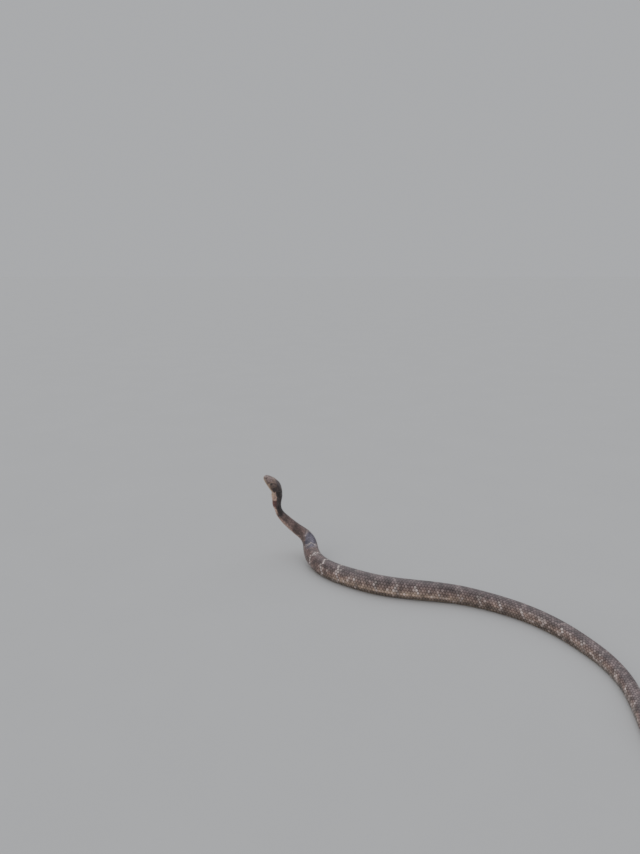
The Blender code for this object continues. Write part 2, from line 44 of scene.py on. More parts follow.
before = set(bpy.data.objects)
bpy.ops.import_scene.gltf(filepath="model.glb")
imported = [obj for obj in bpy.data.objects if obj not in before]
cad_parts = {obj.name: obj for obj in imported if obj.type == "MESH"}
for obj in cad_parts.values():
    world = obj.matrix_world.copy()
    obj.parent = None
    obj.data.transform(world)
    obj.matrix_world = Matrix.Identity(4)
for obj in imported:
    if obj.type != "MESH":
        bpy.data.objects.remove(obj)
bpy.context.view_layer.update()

# The snake's sizes, line and outlines, as in the part's source
TOTAL_LENGTH = 2.80
HEAD_LENGTH = 0.088
STIFF_LENGTH = 0.050  # the line is straight up to here
ROUTE = (
    # x, y, lift of the belly line
    (-0.744, 0.507, 0.274),
    (-0.721, 0.510, 0.256),
    (-0.701, 0.514, 0.2375),
    (-0.6955, 0.518, 0.2105),
    (-0.6985, 0.523, 0.180),
    (-0.693, 0.528, 0.148),
    (-0.674, 0.532, 0.119),
    (-0.650, 0.534, 0.093),
    (-0.625, 0.533, 0.071),
    (-0.601, 0.526, 0.055),
    (-0.586, 0.509, 0.038),
    (-0.582, 0.482, 0.023),
    (-0.573, 0.447, 0.010),
    (-0.556, 0.411, 0.003),
    (-0.530, 0.376, 0.000),
    (-0.495, 0.342, 0.000),
    (-0.445, 0.307, 0.000),
    (-0.390, 0.275, 0.000),
    (-0.330, 0.253, 0.000),
    (-0.265, 0.238, 0.000),
    (-0.195, 0.225, 0.000),
    (-0.134, 0.211, 0.000),
    (-0.073, 0.186, 0.000),
    (-0.010, 0.150, 0.000),
    (0.043, 0.110, 0.000),
    (0.093, 0.056, 0.000),
    (0.148, -0.037, 0.000),
    (0.174, -0.104, 0.000),
    (0.184, -0.174, 0.000),
    (0.176, -0.253, 0.000),
    (0.158, -0.350, 0.000),
    (0.157, -0.445, 0.000),
    (0.193, -0.518, 0.000),
    (0.268, -0.538, 0.000),
    (0.340, -0.500, 0.000),
    (0.385, -0.425, 0.000),
    (0.410, -0.340, 0.000),
    (0.446, -0.256, 0.000),
    (0.510, -0.194, 0.000),
    (0.590, -0.150, 0.000),
    (0.655, -0.090, 0.000),
    (0.690, -0.005, 0.000),
    (0.703, 0.085, 0.000),
    (0.722, 0.168, 0.000),
    (0.740, 0.228, 0.000),
)
ROUTE_STEP = 0.004
ROUTE_SOFTNESS = 0.012  # the line's bends are evened out over about this length
HEAD_ROLL = 18.0  # degrees
ROLL_ENDS_AT = 0.30
GIRTH = (
    # s, width, height
    (0.088, 0.0380, 0.0315),
    (0.110, 0.0315, 0.0275),
    (0.140, 0.0285, 0.0255),
    (0.165, 0.0300, 0.0270),
    (0.190, 0.0335, 0.0305),
    (0.240, 0.0405, 0.0340),
    (0.290, 0.0460, 0.0380),
    (0.350, 0.0530, 0.0430),
    (0.450, 0.0570, 0.0520),
    (0.650, 0.0580, 0.0560),
    (0.800, 0.0565, 0.0550),
    (0.900, 0.0525, 0.0515),
    (1.000, 0.0480, 0.0475),
    (1.250, 0.0425, 0.0420),
    (1.500, 0.0370, 0.0365),
    (1.800, 0.0340, 0.0335),
    (2.100, 0.0300, 0.0295),
    (2.240, 0.0275, 0.0270),
    (2.300, 0.0240, 0.0235),
    (2.500, 0.0160, 0.0155),
    (2.680, 0.0085, 0.0080),
    (2.770, 0.0045, 0.0043),
    (2.800, 0.0022, 0.0022),
)
LOWER_SHARE = 0.46  # share of a section's height that is below its widest place
BACK_FULLNESS, BELLY_FULLNESS = 2.1, 2.6  # powers of the section's two curves
BELLY_CUT = 1.10  # the lower curve's reach, as a share of the depth where the flat belly cuts it
HEAD_OUTLINE = (
    # a, half-width, top, bottom
    (0.0000, 0.0000, 0.0150, 0.0150),
    (0.0012, 0.0056, 0.0196, 0.0102),
    (0.0040, 0.0092, 0.0226, 0.0080),
    (0.0080, 0.0121, 0.0254, 0.0062),
    (0.0140, 0.0150, 0.0282, 0.0047),
    (0.0220, 0.0179, 0.0305, 0.0033),
    (0.0300, 0.0204, 0.0324, 0.0023),
    (0.0380, 0.0226, 0.0339, 0.0014),
    (0.0480, 0.0252, 0.0350, 0.0004),
    (0.0580, 0.0268, 0.0354, -0.0005),
    (0.0680, 0.0261, 0.0350, -0.0010),
    (0.0780, 0.0229, 0.0335, -0.0008),
    (0.0880, 0.0190, 0.0315, 0.0000),
)
HEAD_FULLNESS = (2.9, 2.3)  # powers above and below the widest place
HEAD_WIDEST = 0.44  # share of the head's height
NAPE_BLEND = (0.060, 0.088)
BROW = {"at": 0.0310, "phi": 50.0, "length": 0.0105, "spread": 15.0, "height": 0.0012}
CHEEK = {"at": 0.0180, "phi": 84.0, "length": 0.0080, "spread": 14.0, "height": -0.0008}
MOUTH_LINE = (
    # a, height above the throat's line
    (-0.0060, 0.0114),
    (0.0060, 0.0106),
    (0.0220, 0.0102),
    (0.0380, 0.0108),
    (0.0500, 0.0122),
    (0.0582, 0.0139),
)
EYE_DIAMETER = 0.0088
EYE_AT = (0.0305, 0.0218)  # a, height above the throat's line
EYE_STANDS_OUT = 0.0016
NOSTRIL_AT = (0.0068, 0.0185)
NOSTRIL_RADIUS = 0.0015

# Plates of the head
SHIELDS = {
    # corners as (a in mm, phi), left half, top of the head
    "internasal": ((3.2, 0), (8.6, 0), (8.2, 34), (5.6, 50), (2.9, 44)),
    "prefrontal": ((8.6, 0), (17.6, 0), (18.6, 24), (19.6, 42), (16.5, 62), (11.5, 64), (8.2, 34)),
    "frontal": ((17.6, 0), (18.6, 24), (29.5, 23), (36.5, 0)),
    "supraocular": (
        (18.6, 24), (19.6, 42), (24.5, 54.7), (27.5, 59), (30.5, 61.5),
        (33.5, 62), (36.0, 57), (38.0, 42), (29.5, 23),
    ),
    "parietal": ((36.5, 0), (54.5, 0), (55.5, 26), (48.0, 50), (41.0, 55), (38.0, 42), (29.5, 23)),
    "occipital": ((54.5, 0), (69.0, 0), (68.5, 30), (61.0, 42), (55.5, 26)),
}
CHIN_SHIELDS = {
    "chin_front": ((9.0, 180), (23.0, 180), (24.0, 158), (15.0, 148), (10.0, 158)),
    "chin_rear": ((23.0, 180), (38.0, 180), (36.0, 164), (24.0, 158)),
}
SIDE_SHIELDS = {
    # corners as (a, height above the throat's line), both in mm
    "nasal_front": (
        (2.95, 15.7), (6.6, 16.1), (5.9, 17.0), (5.3, 17.7), (5.1, 18.5),
        (5.3, 19.3), (5.9, 20.1), (6.6, 22.3), (5.6, 21.4), (2.95, 20.2),
    ),
    "nasal_rear": (
        (7.0, 16.1), (14.0, 16.8), (14.0, 22.6), (11.5, 21.85), (8.2, 24.2), (6.9, 22.8),
        (7.6, 20.1), (8.3, 19.4), (8.5, 18.5), (8.3, 17.6), (7.6, 16.9),
    ),
    "preocular": (
        (14.0, 16.8), (21.5, 17.2), (26.4, 17.4), (27.3, 19.4), (26.5, 21.8), (27.0, 23.8),
        (28.2, 25.2), (27.5, 26.2), (24.5, 26.6), (19.6, 27.4), (16.5, 23.4), (14.0, 22.6),
    ),
    "postocular_upper": (
        (34.4, 23.0), (33.6, 24.4), (32.8, 25.4), (33.5, 26.3), (36.0, 27.8), (38.0, 30.96),
        (41.0, 28.63), (40.3, 26.4), (39.2, 23.2),
    ),
    "postocular_middle": ((34.5, 23.0), (39.2, 23.2), (39.2, 20.2), (34.4, 20.4)),
    "postocular_lower": ((34.3, 20.4), (39.2, 20.2), (39.1, 17.35), (33.0, 17.5), (33.3, 18.9)),
    "temporal_upper": ((39.2, 23.2), (47.8, 23.2), (48.0, 29.97), (41.0, 28.63), (40.3, 26.4)),
    "temporal_lower": ((39.2, 23.2), (47.8, 23.2), (48.5, 18.3), (39.1, 17.35)),
    "temporal_rear_upper": ((47.8, 23.2), (56.5, 23.5), (56.8, 30.0), (52.0, 32.1), (48.0, 29.97)),
    "temporal_rear_lower": ((47.8, 23.2), (56.5, 23.5), (57.5, 19.5), (48.5, 18.3)),
    "temporal_top": ((52.0, 32.1), (56.8, 30.0), (61.0, 31.6), (55.5, 33.95)),
}

# Plates of the lips, in mm along the head: their edges at the mouth and further up or down
UPPER_LIP_EDGES = (2.2, 6.4, 12.0, 19.6, 28.4, 37.6, 47.4, 57.6)
UPPER_LIP_TOP_EDGES = (3.0, 7.1, 13.8, 22.4, 31.0, 39.4, 48.7, 57.2)
UPPER_LIP_TOP = (
    # a, height above the throat's line
    (2.2, 15.6), (7.5, 16.1), (14.0, 16.8), (21.5, 17.2),
    (30.0, 17.5), (39.0, 17.3), (48.5, 18.3), (57.5, 19.5),
)
UPPER_LIP_CLEAR = 0.25  # how far the upper lip's plates stay above the line of the mouth
LOWER_LIP_EDGES = (3.2, 7.2, 12.2, 18.6, 26.6, 35.8, 45.4, 55.0)
LOWER_LIP_BOTTOM = (
    # a, phi
    (5.6, 168), (10.0, 158), (15.0, 148), (21.0, 150), (28.5, 143), (37.5, 133), (46.5, 123), (55.5, 111),
)
LOWER_LIP_CLEAR = 0.00025  # metres
ROSTRAL_EDGE = (
    # phi, a
    (0, 3.2), (44, 2.9), (72, 2.85), (79, 2.15), (110, 2.1), (125, 1.5), (140, 1.0), (180, 0.65),
)

# The lie of the scales
PITCH = (
    # s, distance between scales along the body
    (0.000, 0.0042),
    (0.060, 0.0046),
    (0.100, 0.0054),
    (0.200, 0.0066),
    (0.300, 0.0080),
    (0.450, 0.00893),
    (0.900, 0.00893),
    (1.050, 0.0093),
    (1.250, 0.0092),
    (1.450, 0.0086),
    (1.800, 0.0081),
    (2.240, 0.0072),
    (2.500, 0.0058),
    (2.680, 0.0042),
    (2.800, 0.0030),
)
BAND_AT = 0.4625  # one band's place, half way down the flank
BAND_EVERY = 7  # scales from one band to the next
BAND_ROW = 4  # the row of scales, counted from the back, where that place is
BAND_SLANT = 0.2  # scales that a band falls back with each row down the flank
BAND_DARK = (0.05, 0.18)  # share of a band's scales that stay dark, and how many more further back
BAND_SPILT = (0.14, 0.06)  # the same for the scales beside a band that are pale
ROWS = (
    # from s, rows of scales between the belly's scutes
    (0.040, 21),
    (0.100, 19),
    (0.240, 17),
    (0.450, 15),
    (2.220, 13),
    (2.290, 11),
    (2.400, 9),
    (2.540, 7),
    (2.670, 5),
)
SCALES_END = 2.788
FIRST_OF_SNOUT, LAST_OF_TAIL = 0.002, TOTAL_LENGTH - 0.0006  # no scale or scute reaches past these
BELLY_FROM_PHI = 121.0
FIRST_SCUTE = 0.076
PAIRED_FROM = 2.34  # the scutes under the tail are in pairs from here
THROAT_PITCH = 0.0042
THROAT_ROWS = 15
THROAT_FROM_PHI = 104.0
THROAT_START = 0.006
THROAT_END = FIRST_SCUTE + 0.003
JAW_ENDS = 0.058  # the scales before this place stay below the mouth
COAT_PIECES = (
    # name, from s, to s, slot
    ("scales_neck", 0.040, 0.450, "body_scales"),
    ("scales_front", 0.450, 1.000, "body_scales"),
    ("scales_middle", 1.000, 1.600, "body_scales"),
    ("scales_rear", 1.600, 2.240, "body_scales"),
    ("scales_tail", 2.240, TOTAL_LENGTH, "tail_scales"),
)
PATCH = 0.003  # each scale's share of the bake map
FULL_COAT_WIDTH = 0.055  # the coat is thinner where the body is slimmer than this
THINNEST_COAT = 0.16
FLESH = (
    "head", "lower_jaw", "neck_upper", "neck_lower", "body_1", "body_2", "body_3", "body_4", "body_5",
    "body_6", "body_7", "body_8", "tail_1", "tail_2", "tail_tip",
)

# The skin
SKIN_SIDES = 112
HEAD_RINGS, NECK_RINGS, BODY_RINGS = 130, 120, 450
NECK_ENDS, SKIN_ENDS = 0.200, TOTAL_LENGTH - 0.0005
SKIN_BELOW = 0.00005  # under the snake's outside where no scale lies on it
NECK_SUNK = 0.00035  # further in behind the jaw, where the neck bends
NECK_SUNK_SPAN = (0.048, 0.060, 0.120, 0.160)
NECK_TURN_SPAN = (0.052, 0.062, 0.150, 0.200)
GROOVE_DEPTH, GROOVE_WIDTH = 0.0011, 0.0007
GROOVE_ENDS = (0.0575, 0.0605)
PIT_DEPTH, PIT_REACH = 0.0016, 0.012
SNOUT_DEPTH = 0.0002
HEAD_SPACING = 1.6  # the rings stand closer together towards the snout
SKIN_PALE, SKIN_EDGE, SKIN_CHANCE = 0.5, 0.9, 0.5  # the marks of skin between scales
THROAT_EDGE = 0.5  # how much lighter the throat's skin is

# Steps of the measures taken on the surface
SLOPE_FROM, SLOPE_STEP, SLOPE_TURN = 0.0003, 0.0006, 0.6  # first place, step along, degrees round
WRAP_FROM, WRAP_HEAD, WRAP_BODY, WRAP_TURNS = 0.0005, 60, 260, 160
HEIGHT_TURNS = (5, 175, 341)  # first and last angle, and how many
NECK_STEPS = (0, 0.21, 0.002)
ROW_STEPS = 5601
ON_FLOOR = 2e-5  # what lies this low lies on the floor

# Seeds of the random draws
BACK_SEED, THROAT_SEED, SCUTE_SEED, SHIELD_SEED = 11, 12, 13, 14


def eased(at, knots, values, keep_within=True):
    """Cubic curve through the values. keep_within stops it from swinging past them."""
    knots, values = np.asarray(knots, float), np.asarray(values, float)
    rise = np.diff(values) / np.diff(knots)
    slope = np.gradient(values, knots)
    if keep_within:
        product = rise[:-1] * rise[1:]
        total = np.where(product > 0, rise[:-1] + rise[1:], 1.0)
        slope[1:-1] = np.where(product > 0, 2 * product / total, 0.0)
    at = np.clip(at, knots[0], knots[-1])
    i = np.clip(np.searchsorted(knots, at, side="right") - 1, 0, len(knots) - 2)
    step = knots[i + 1] - knots[i]
    x = (at - knots[i]) / step
    return (
        values[i] * (1 + 2 * x) * (1 - x) ** 2
        + values[i + 1] * x * x * (3 - 2 * x)
        + step * (slope[i] * x * (1 - x) ** 2 - slope[i + 1] * x * x * (1 - x))
    )


def smooth_step(x, start, end):
    """0 before start, 1 after end, with a smooth rise between them."""
    x = np.clip((np.asarray(x, float) - start) / (end - start), 0, 1)
    return x * x * (3 - 2 * x)


def window(x, start, full, fading, end):
    """A smooth rise from start to full times a smooth fall from fading to end."""
    return smooth_step(x, start, full) * (1 - smooth_step(x, fading, end))


def wrapped(q):
    """q brought back to between -1 and 1, past the middle of the belly to the other side."""
    return (q + 1) % 2 - 1


class Line:
    """The snake's line, with its length evened out and its bends softened."""

    def __init__(self):
        route = np.array(ROUTE)
        knots = np.concatenate([[0], np.cumsum(np.linalg.norm(np.diff(route, axis=0), axis=1))])
        fine = np.arange(0, knots[-1], ROUTE_STEP)
        path = np.stack(
            [eased(fine, knots, route[:, axis], keep_within=axis == 2) for axis in range(3)], axis=1
        )
        reach = int(round(4 * ROUTE_SOFTNESS / ROUTE_STEP))
        weight = np.exp(-0.5 * (np.arange(-reach, reach + 1) * ROUTE_STEP / ROUTE_SOFTNESS) ** 2)
        weight /= weight.sum()
        before = path[0] + np.arange(-reach, 0)[:, None] * (path[1] - path[0])
        after = path[-1] + np.arange(1, reach + 1)[:, None] * (path[-1] - path[-2])
        longer = np.concatenate([before, path, after])
        path = np.stack([np.convolve(longer[:, a], weight, "valid") for a in range(3)], axis=1)
        path[:, 2] = np.maximum(path[:, 2], 0)
        path[path[:, 2] < ON_FLOOR, 2] = 0
        self.path = path
        self.s = np.concatenate([[0], np.cumsum(np.linalg.norm(np.diff(path, axis=0), axis=1))])
        self.tangent = np.stack([np.gradient(path[:, a], self.s) for a in range(3)], axis=1)
        start = np.array([np.interp(STIFF_LENGTH, self.s, path[:, a]) for a in range(3)])
        along = np.array([np.interp(STIFF_LENGTH, self.s, self.tangent[:, a]) for a in range(3)])
        along /= np.linalg.norm(along)
        stiff = self.s < STIFF_LENGTH
        self.path[stiff] = start + (self.s[stiff, None] - STIFF_LENGTH) * along
        self.tangent[stiff] = along

    def frame(self, s):
        """Places on the line, with the directions to the tail, to the left and to the back."""
        s = np.asarray(s, float)
        place = np.stack([np.interp(s, self.s, self.path[:, a]) for a in range(3)], axis=-1)
        along = np.stack([np.interp(s, self.s, self.tangent[:, a]) for a in range(3)], axis=-1)
        along /= np.linalg.norm(along, axis=-1, keepdims=True)
        back = np.array([0, 0, 1.0]) - along[..., 2:] * along
        back /= np.linalg.norm(back, axis=-1, keepdims=True)
        left = np.cross(along, back)
        roll = np.radians(HEAD_ROLL) * (1 - smooth_step(s, HEAD_LENGTH, ROLL_ENDS_AT))[..., None]
        rolled_back = back * np.cos(roll) + left * np.sin(roll)
        rolled_left = left * np.cos(roll) - back * np.sin(roll)
        width, height = girth(s)
        place[..., 2] += LOWER_SHARE * height
        return place, along, rolled_left, rolled_back


def girth(s):
    """Width and height of the body at places along it."""
    stations = np.array(GIRTH)
    return eased(s, stations[:, 0], stations[:, 1]), eased(s, stations[:, 0], stations[:, 2])


def body_section(phi, width, height):
    """A body section: two half superellipses, the lower one cut by a flat belly."""
    angle = np.radians(phi)
    sine, cosine = np.sin(angle), np.cos(angle)
    power = np.where(cosine >= 0, BACK_FULLNESS, BELLY_FULLNESS)
    lower = LOWER_SHARE * height
    reach = np.where(cosine >= 0, height - lower, lower * BELLY_CUT)
    x = width / 2 * np.sign(sine) * np.abs(sine) ** (2 / power)
    z = reach * np.sign(cosine) * np.abs(cosine) ** (2 / power)
    return x, np.maximum(z, -lower)


def head_section(phi, a):
    """A head section: two half superellipses through the outline, with brow and cheek swelled on."""
    table = np.array(HEAD_OUTLINE)
    at, knots = np.sqrt(np.maximum(a, 0) / HEAD_LENGTH), np.sqrt(table[:, 0] / HEAD_LENGTH)
    half, top, bottom = (eased(at, knots, table[:, column]) for column in (1, 2, 3))
    angle = np.radians(phi)
    sine, cosine = np.sin(angle), np.cos(angle)
    power = np.where(cosine >= 0, HEAD_FULLNESS[0], HEAD_FULLNESS[1])
    widest = bottom + HEAD_WIDEST * (top - bottom)
    reach = np.where(cosine >= 0, top - widest, widest - bottom)
    x = half * np.sign(sine) * np.abs(sine) ** (2 / power)
    z = widest + reach * np.sign(cosine) * np.abs(cosine) ** (2 / power)
    for form in (BROW, CHEEK):
        along, about = (a - form["at"]) / form["length"], (phi - form["phi"]) / form["spread"]
        near = np.exp(-(along**2) - about**2)
        x = x + form["height"] * near * sine
        z = z + form["height"] * near * cosine
    width, height = girth(HEAD_LENGTH)
    body_x, body_z = body_section(phi, width, height)
    body_z = body_z + LOWER_SHARE * height
    share = smooth_step(a, *NAPE_BLEND)
    return x * (1 - share) + body_x * share, z * (1 - share) + body_z * share


def folded(phi):
    """An angle past the middle of the belly, as one on the other side."""
    return (np.asarray(phi, float) + 180) % 360 - 180


def section(s, phi):
    """x to the left and z above the belly's line, at any length along the snake."""
    s, phi = np.broadcast_arrays(np.asarray(s, float), folded(phi))
    side, turn = np.where(phi < 0, -1.0, 1.0), np.abs(phi)
    width, height = girth(s)
    x, z = body_section(turn, width, height)
    head_x, head_z = head_section(turn, np.clip(s, 0, HEAD_LENGTH))
    ahead = s < HEAD_LENGTH
    return side * np.where(ahead, head_x, x), np.where(ahead, head_z, z + LOWER_SHARE * height)


def surface(s, phi):
    """World places on the snake's outside."""
    x, z = section(s, phi)
    place, _, left, back = LINE.frame(np.broadcast_to(s, x.shape))
    drop = LOWER_SHARE * girth(np.broadcast_to(s, x.shape))[1]
    return place + x[..., None] * left + (z - drop)[..., None] * back


def outward(s, phi):
    """Unit directions out of the surface: the cross product of its slopes round and along the body."""
    s = np.maximum(s, SLOPE_FROM)
    step = np.minimum(SLOPE_STEP, 0.4 * s)
    along = surface(s + step, phi) - surface(s - step, phi)
    around = surface(s, phi + SLOPE_TURN) - surface(s, phi - SLOPE_TURN)
    out = np.cross(around, along)
    return out / np.maximum(np.linalg.norm(out, axis=-1, keepdims=True), 1e-12)


def raised(s, phi, height):
    """Places that stand off the snake's outside by a height, never below the floor."""
    s, phi, height = np.broadcast_arrays(np.asarray(s, float), np.asarray(phi, float), height)
    points = surface(s, phi) + outward(s, phi) * height[..., None]
    points[..., 2] = np.maximum(points[..., 2], 0)
    return points


class Wrap:
    """Tables between the angle round a section and the share of the skin's half girth."""

    def __init__(self):
        head = np.linspace(WRAP_FROM, HEAD_LENGTH, WRAP_HEAD)
        self.s = np.append(head, np.linspace(HEAD_LENGTH, TOTAL_LENGTH, WRAP_BODY)[1:])
        phi = np.linspace(0, 180, WRAP_TURNS + 1)
        x, z = section(self.s[:, None], phi[None, :])
        length = np.hypot(np.diff(x, axis=1), np.diff(z, axis=1)).cumsum(axis=1)
        self.half = length[:, -1]
        self.share = np.concatenate([np.zeros((len(self.s), 1)), length / self.half[:, None]], axis=1)
        even = np.linspace(0, 1, WRAP_TURNS + 1)
        self.turn = np.stack([np.interp(even, row, phi) for row in self.share])

    def _read(self, table, s, part):
        """The table's value at s and at a part (0 to 1) of its columns, by bilinear interpolation."""
        s = np.clip(s, self.s[0], self.s[-1])
        i = np.clip(np.searchsorted(self.s, s, side="right") - 1, 0, len(self.s) - 2)
        along = (s - self.s[i]) / (self.s[i + 1] - self.s[i])
        column = np.clip(part, 0, 1) * WRAP_TURNS
        j = np.minimum(column.astype(int), WRAP_TURNS - 1)
        across = column - j
        near = table[i, j] * (1 - across) + table[i, j + 1] * across
        far = table[i + 1, j] * (1 - across) + table[i + 1, j + 1] * across
        return near * (1 - along) + far * along

    def phi(self, s, q):
        """The angle at a share of the half girth."""
        s, q = np.broadcast_arrays(np.asarray(s, float), wrapped(np.asarray(q, float)))
        return np.where(q < 0, -1.0, 1.0) * self._read(self.turn, s, np.abs(q))

    def q(self, s, phi):
        """The share of the half girth at an angle."""
        s, phi = np.broadcast_arrays(np.asarray(s, float), folded(phi))
        return np.where(phi < 0, -1.0, 1.0) * self._read(self.share, s, np.abs(phi) / 180)

    def half_girth(self, s):
        """The skin's length from the middle of the back to the middle of the belly."""
        return np.interp(s, self.s, self.half)

    def unrolled(self, s, phi):
        """q for an angle that may run on past the middle of the belly, up to 360."""
        turn = np.abs(phi)
        share = self._read(self.share, s, np.minimum(turn, 360 - turn) / 180)
        return np.sign(phi) * np.where(turn > 180, 2 - share, share)


LINE = Line()
WRAP = Wrap()


def neck_turn():
    """Places along the neck, and how far in q the coat's back lies from the back of the line's frame there.

    The coat follows a direction that is carried along the line from the head without any twist.
    """
    s = np.arange(*NECK_STEPS)
    _, along, left, back = LINE.frame(s)
    carried, turns = back[0], []
    for i in range(len(s)):
        carried = carried - (carried @ along[i]) * along[i]
        carried /= np.linalg.norm(carried)
        turns.append(math.atan2(carried @ left[i], carried @ back[i]) / math.pi)
    return s, np.array(turns) * window(s, *NECK_TURN_SPAN)


NECK_S, NECK_TURN = neck_turn()


def coat_place(s, q, height):
    """World places at the coat's own q, that far above the snake's outside."""
    return raised(s, WRAP.phi(s, q + np.interp(s, NECK_S, NECK_TURN)), height)


def pitch_at(s):
    """The distance between scales along the body."""
    return eased(s, *np.array(PITCH).T)


def row_tables():
    """Places along the body and the count of scale rows up to each, 0 at a band's middle."""
    s = np.linspace(0, TOTAL_LENGTH, ROW_STEPS)
    pitch = pitch_at(s)
    count = np.concatenate([[0], np.cumsum(np.diff(s) / (0.5 * (pitch[1:] + pitch[:-1])))])
    return s, count - np.interp(BAND_AT, s, count)


ROW_S, ROW_COUNT = row_tables()


def coat_depth(s):
    """How far the scales' tops stand above the skin: less where the body is thin."""
    depth = bpy.context.scene.cobra_sizes.coat_depth
    return depth * np.clip(girth(s)[0] / FULL_COAT_WIDTH, THINNEST_COAT, 1)


def skin_height(s):
    """The skin's place above the snake's outside, in the grooves of the head and under the coat."""
    return -SKIN_BELOW - (coat_depth(s) - SKIN_BELOW) * smooth_step(s, 0.050, 0.085)


def mouth_height(a):
    """Height of the line of the mouth above the throat's line."""
    return np.interp(a, *np.array(MOUTH_LINE).T)


def phi_at_height(a, z):
    """The angle round the head's section where it is at a height above the throat's line."""
    a, z = np.broadcast_arrays(np.asarray(a, float), np.asarray(z, float))
    phi = np.linspace(*HEIGHT_TURNS)
    _, heights = section(a[..., None], phi)
    return np.apply_along_axis(
        lambda row: np.interp(-row[0], -row[1:], phi), -1, np.concatenate([z[..., None], heights], axis=-1)
    )


def in_head(a, x, z):
    """World place of a point of the head: a from the snout tip, x to the left, z above the throat."""
    a, x, z = (np.asarray(value, float) for value in (a, x, z))
    place, along, left, back = LINE.frame(np.maximum(a, 0))
    ahead = np.minimum(a, 0)[..., None] * along
    return place + ahead + x[..., None] * left + (z - LOWER_SHARE * girth(HEAD_LENGTH)[1])[..., None] * back


# Meshes


def placed(name, data):
    """A new object in the scene."""
    item = bpy.data.objects.new(name, data)
    bpy.context.scene.collection.objects.link(item)
    return item


def make_piece(name, points, corners, faces, marks, finish, slot, bake_map=None, sharp=50):
    """A mesh object from arrays: places, each face's corners in a row, and each face's corner count."""
    mesh = bpy.data.meshes.new(name)
    mesh.vertices.add(len(points))
    mesh.vertices.foreach_set("co", np.ascontiguousarray(points, np.float32).ravel())
    mesh.loops.add(len(corners))
    mesh.loops.foreach_set("vertex_index", np.ascontiguousarray(corners, np.int32))
    mesh.polygons.add(len(faces))
    starts = np.concatenate([[0], np.cumsum(faces)[:-1]])
    mesh.polygons.foreach_set("loop_start", np.ascontiguousarray(starts, np.int32))
    for mark, values in marks.items():
        made = mesh.attributes.new(mark, "FLOAT", "POINT")
        made.data.foreach_set("value", np.ascontiguousarray(values, np.float32))
    if bake_map is not None:
        layer = mesh.uv_layers.new(name="OFBake", do_init=False)
        layer.data.foreach_set("uv", np.ascontiguousarray(bake_map, np.float32).ravel())
    mesh.update(calc_edges=True)
    if mesh.validate():
        raise RuntimeError(f"{name} has faults in its mesh")
    mesh.shade_smooth()
    mesh.set_sharp_from_angle(angle=math.radians(sharp))
    mesh.materials.append(finish)
    piece = placed(name, mesh)
    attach(piece, "root")
    return piece


def ring_quads(rings, sides):
    """Corners of the quads between neighbouring closed rings, numbered ring by ring, facing outwards."""
    ring, side = np.meshgrid(np.arange(rings - 1), np.arange(sides), indexing="ij")
    here, inner, after = ring * sides, (ring + 1) * sides, (side + 1) % sides
    return np.stack([here + side, here + after, inner + after, inner + side], axis=-1).reshape(-1, 4)


def fan(centre, ring, turned):
    """Corners of the triangles between a centre and a closed ring."""
    after = np.roll(ring, -1)
    middle = np.full(len(ring), centre)
    return np.stack([middle, after, ring] if turned else [middle, ring, after], axis=-1)


def joined_corners(*parts):
    """Faces of several kinds as one row of corners and the count of corners of each face."""
    corners = np.concatenate([part.ravel() for part in parts])
    faces = np.concatenate([np.full(len(part), part.shape[1]) for part in parts])
    return corners, faces


def repeated(corners, faces, size, copies):
    """The same faces for each copy of a shape with so many points."""
    shift = np.arange(copies)[:, None] * size
    return (corners[None, :] + shift).ravel(), np.tile(faces, copies)


def band_phase(count, across):
    """Scales past the nearest band, a zigzag row of single scales that slants a little to the head."""
    place = count - BAND_SLANT * (np.abs(across) - BAND_ROW)
    return (place + BAND_EVERY / 2) % BAND_EVERY - BAND_EVERY / 2


def band_strength(s, q):
    """How strongly the bands show: from the back down at first, further on half way down the flanks."""
    turn = np.abs(q)
    over_back = (1 - smooth_step(s, 0.52, 0.62)) * (1 - 0.5 * smooth_step(turn, 0.52, 0.66))
    flank = window(turn, 0.14, 0.28, 0.48, 0.62)
    fading = 1 - 0.25 * smooth_step(s, 0.90, 1.15) - 0.30 * smooth_step(s, 1.6, 2.3)
    faint = 0.14 * (turn < 0.66)
    start = smooth_step(s, 0.372, 0.40)
    on_neck = 0.55 * smooth_step(s, 0.27, 0.29) * (1 - smooth_step(turn, 0.24, 0.40))
    return start * np.maximum(np.maximum(over_back, flank * fading), faint) + (1 - start) * on_neck


def paleness(s, q, count, row, draw):
    """How pale each scale is: those of a band but for a few, and a few beside it."""
    off_band = np.abs(band_phase(count, row) - 0.2)
    further_back = smooth_step(s, 0.56, 0.70)
    dark = draw(0, 1) < BAND_DARK[0] + BAND_DARK[1] * further_back
    on_band = np.where(dark, 0.15, draw(0.60, 1.0))
    spilt = draw(0, 1) < BAND_SPILT[0] + BAND_SPILT[1] * further_back
    beside = (off_band < 1.3) * np.where(spilt, draw(0.2, 0.7), 0.0)
    return band_strength(s, q) * np.where(off_band < 0.5, on_band, beside)


def row_width(s):
    """A row's width at places along the body, as a share of the half girth."""
    starts, rows = np.array(ROWS).T
    count = rows[np.clip(np.searchsorted(starts, s, side="right") - 1, 0, len(rows) - 1)]
    return 2 * WRAP.q(s, BELLY_FROM_PHI) / count


def coat_marks(s, q, pale, edge, chance):
    """What the finishes read at each point: where it is along and round the body, and its scale's values."""
    values = {"along": s, "around": np.abs(wrapped(q)), "pale": pale, "edge": edge, "chance": chance}
    return {mark: np.broadcast_to(value, s.shape).ravel() for mark, value in values.items()}


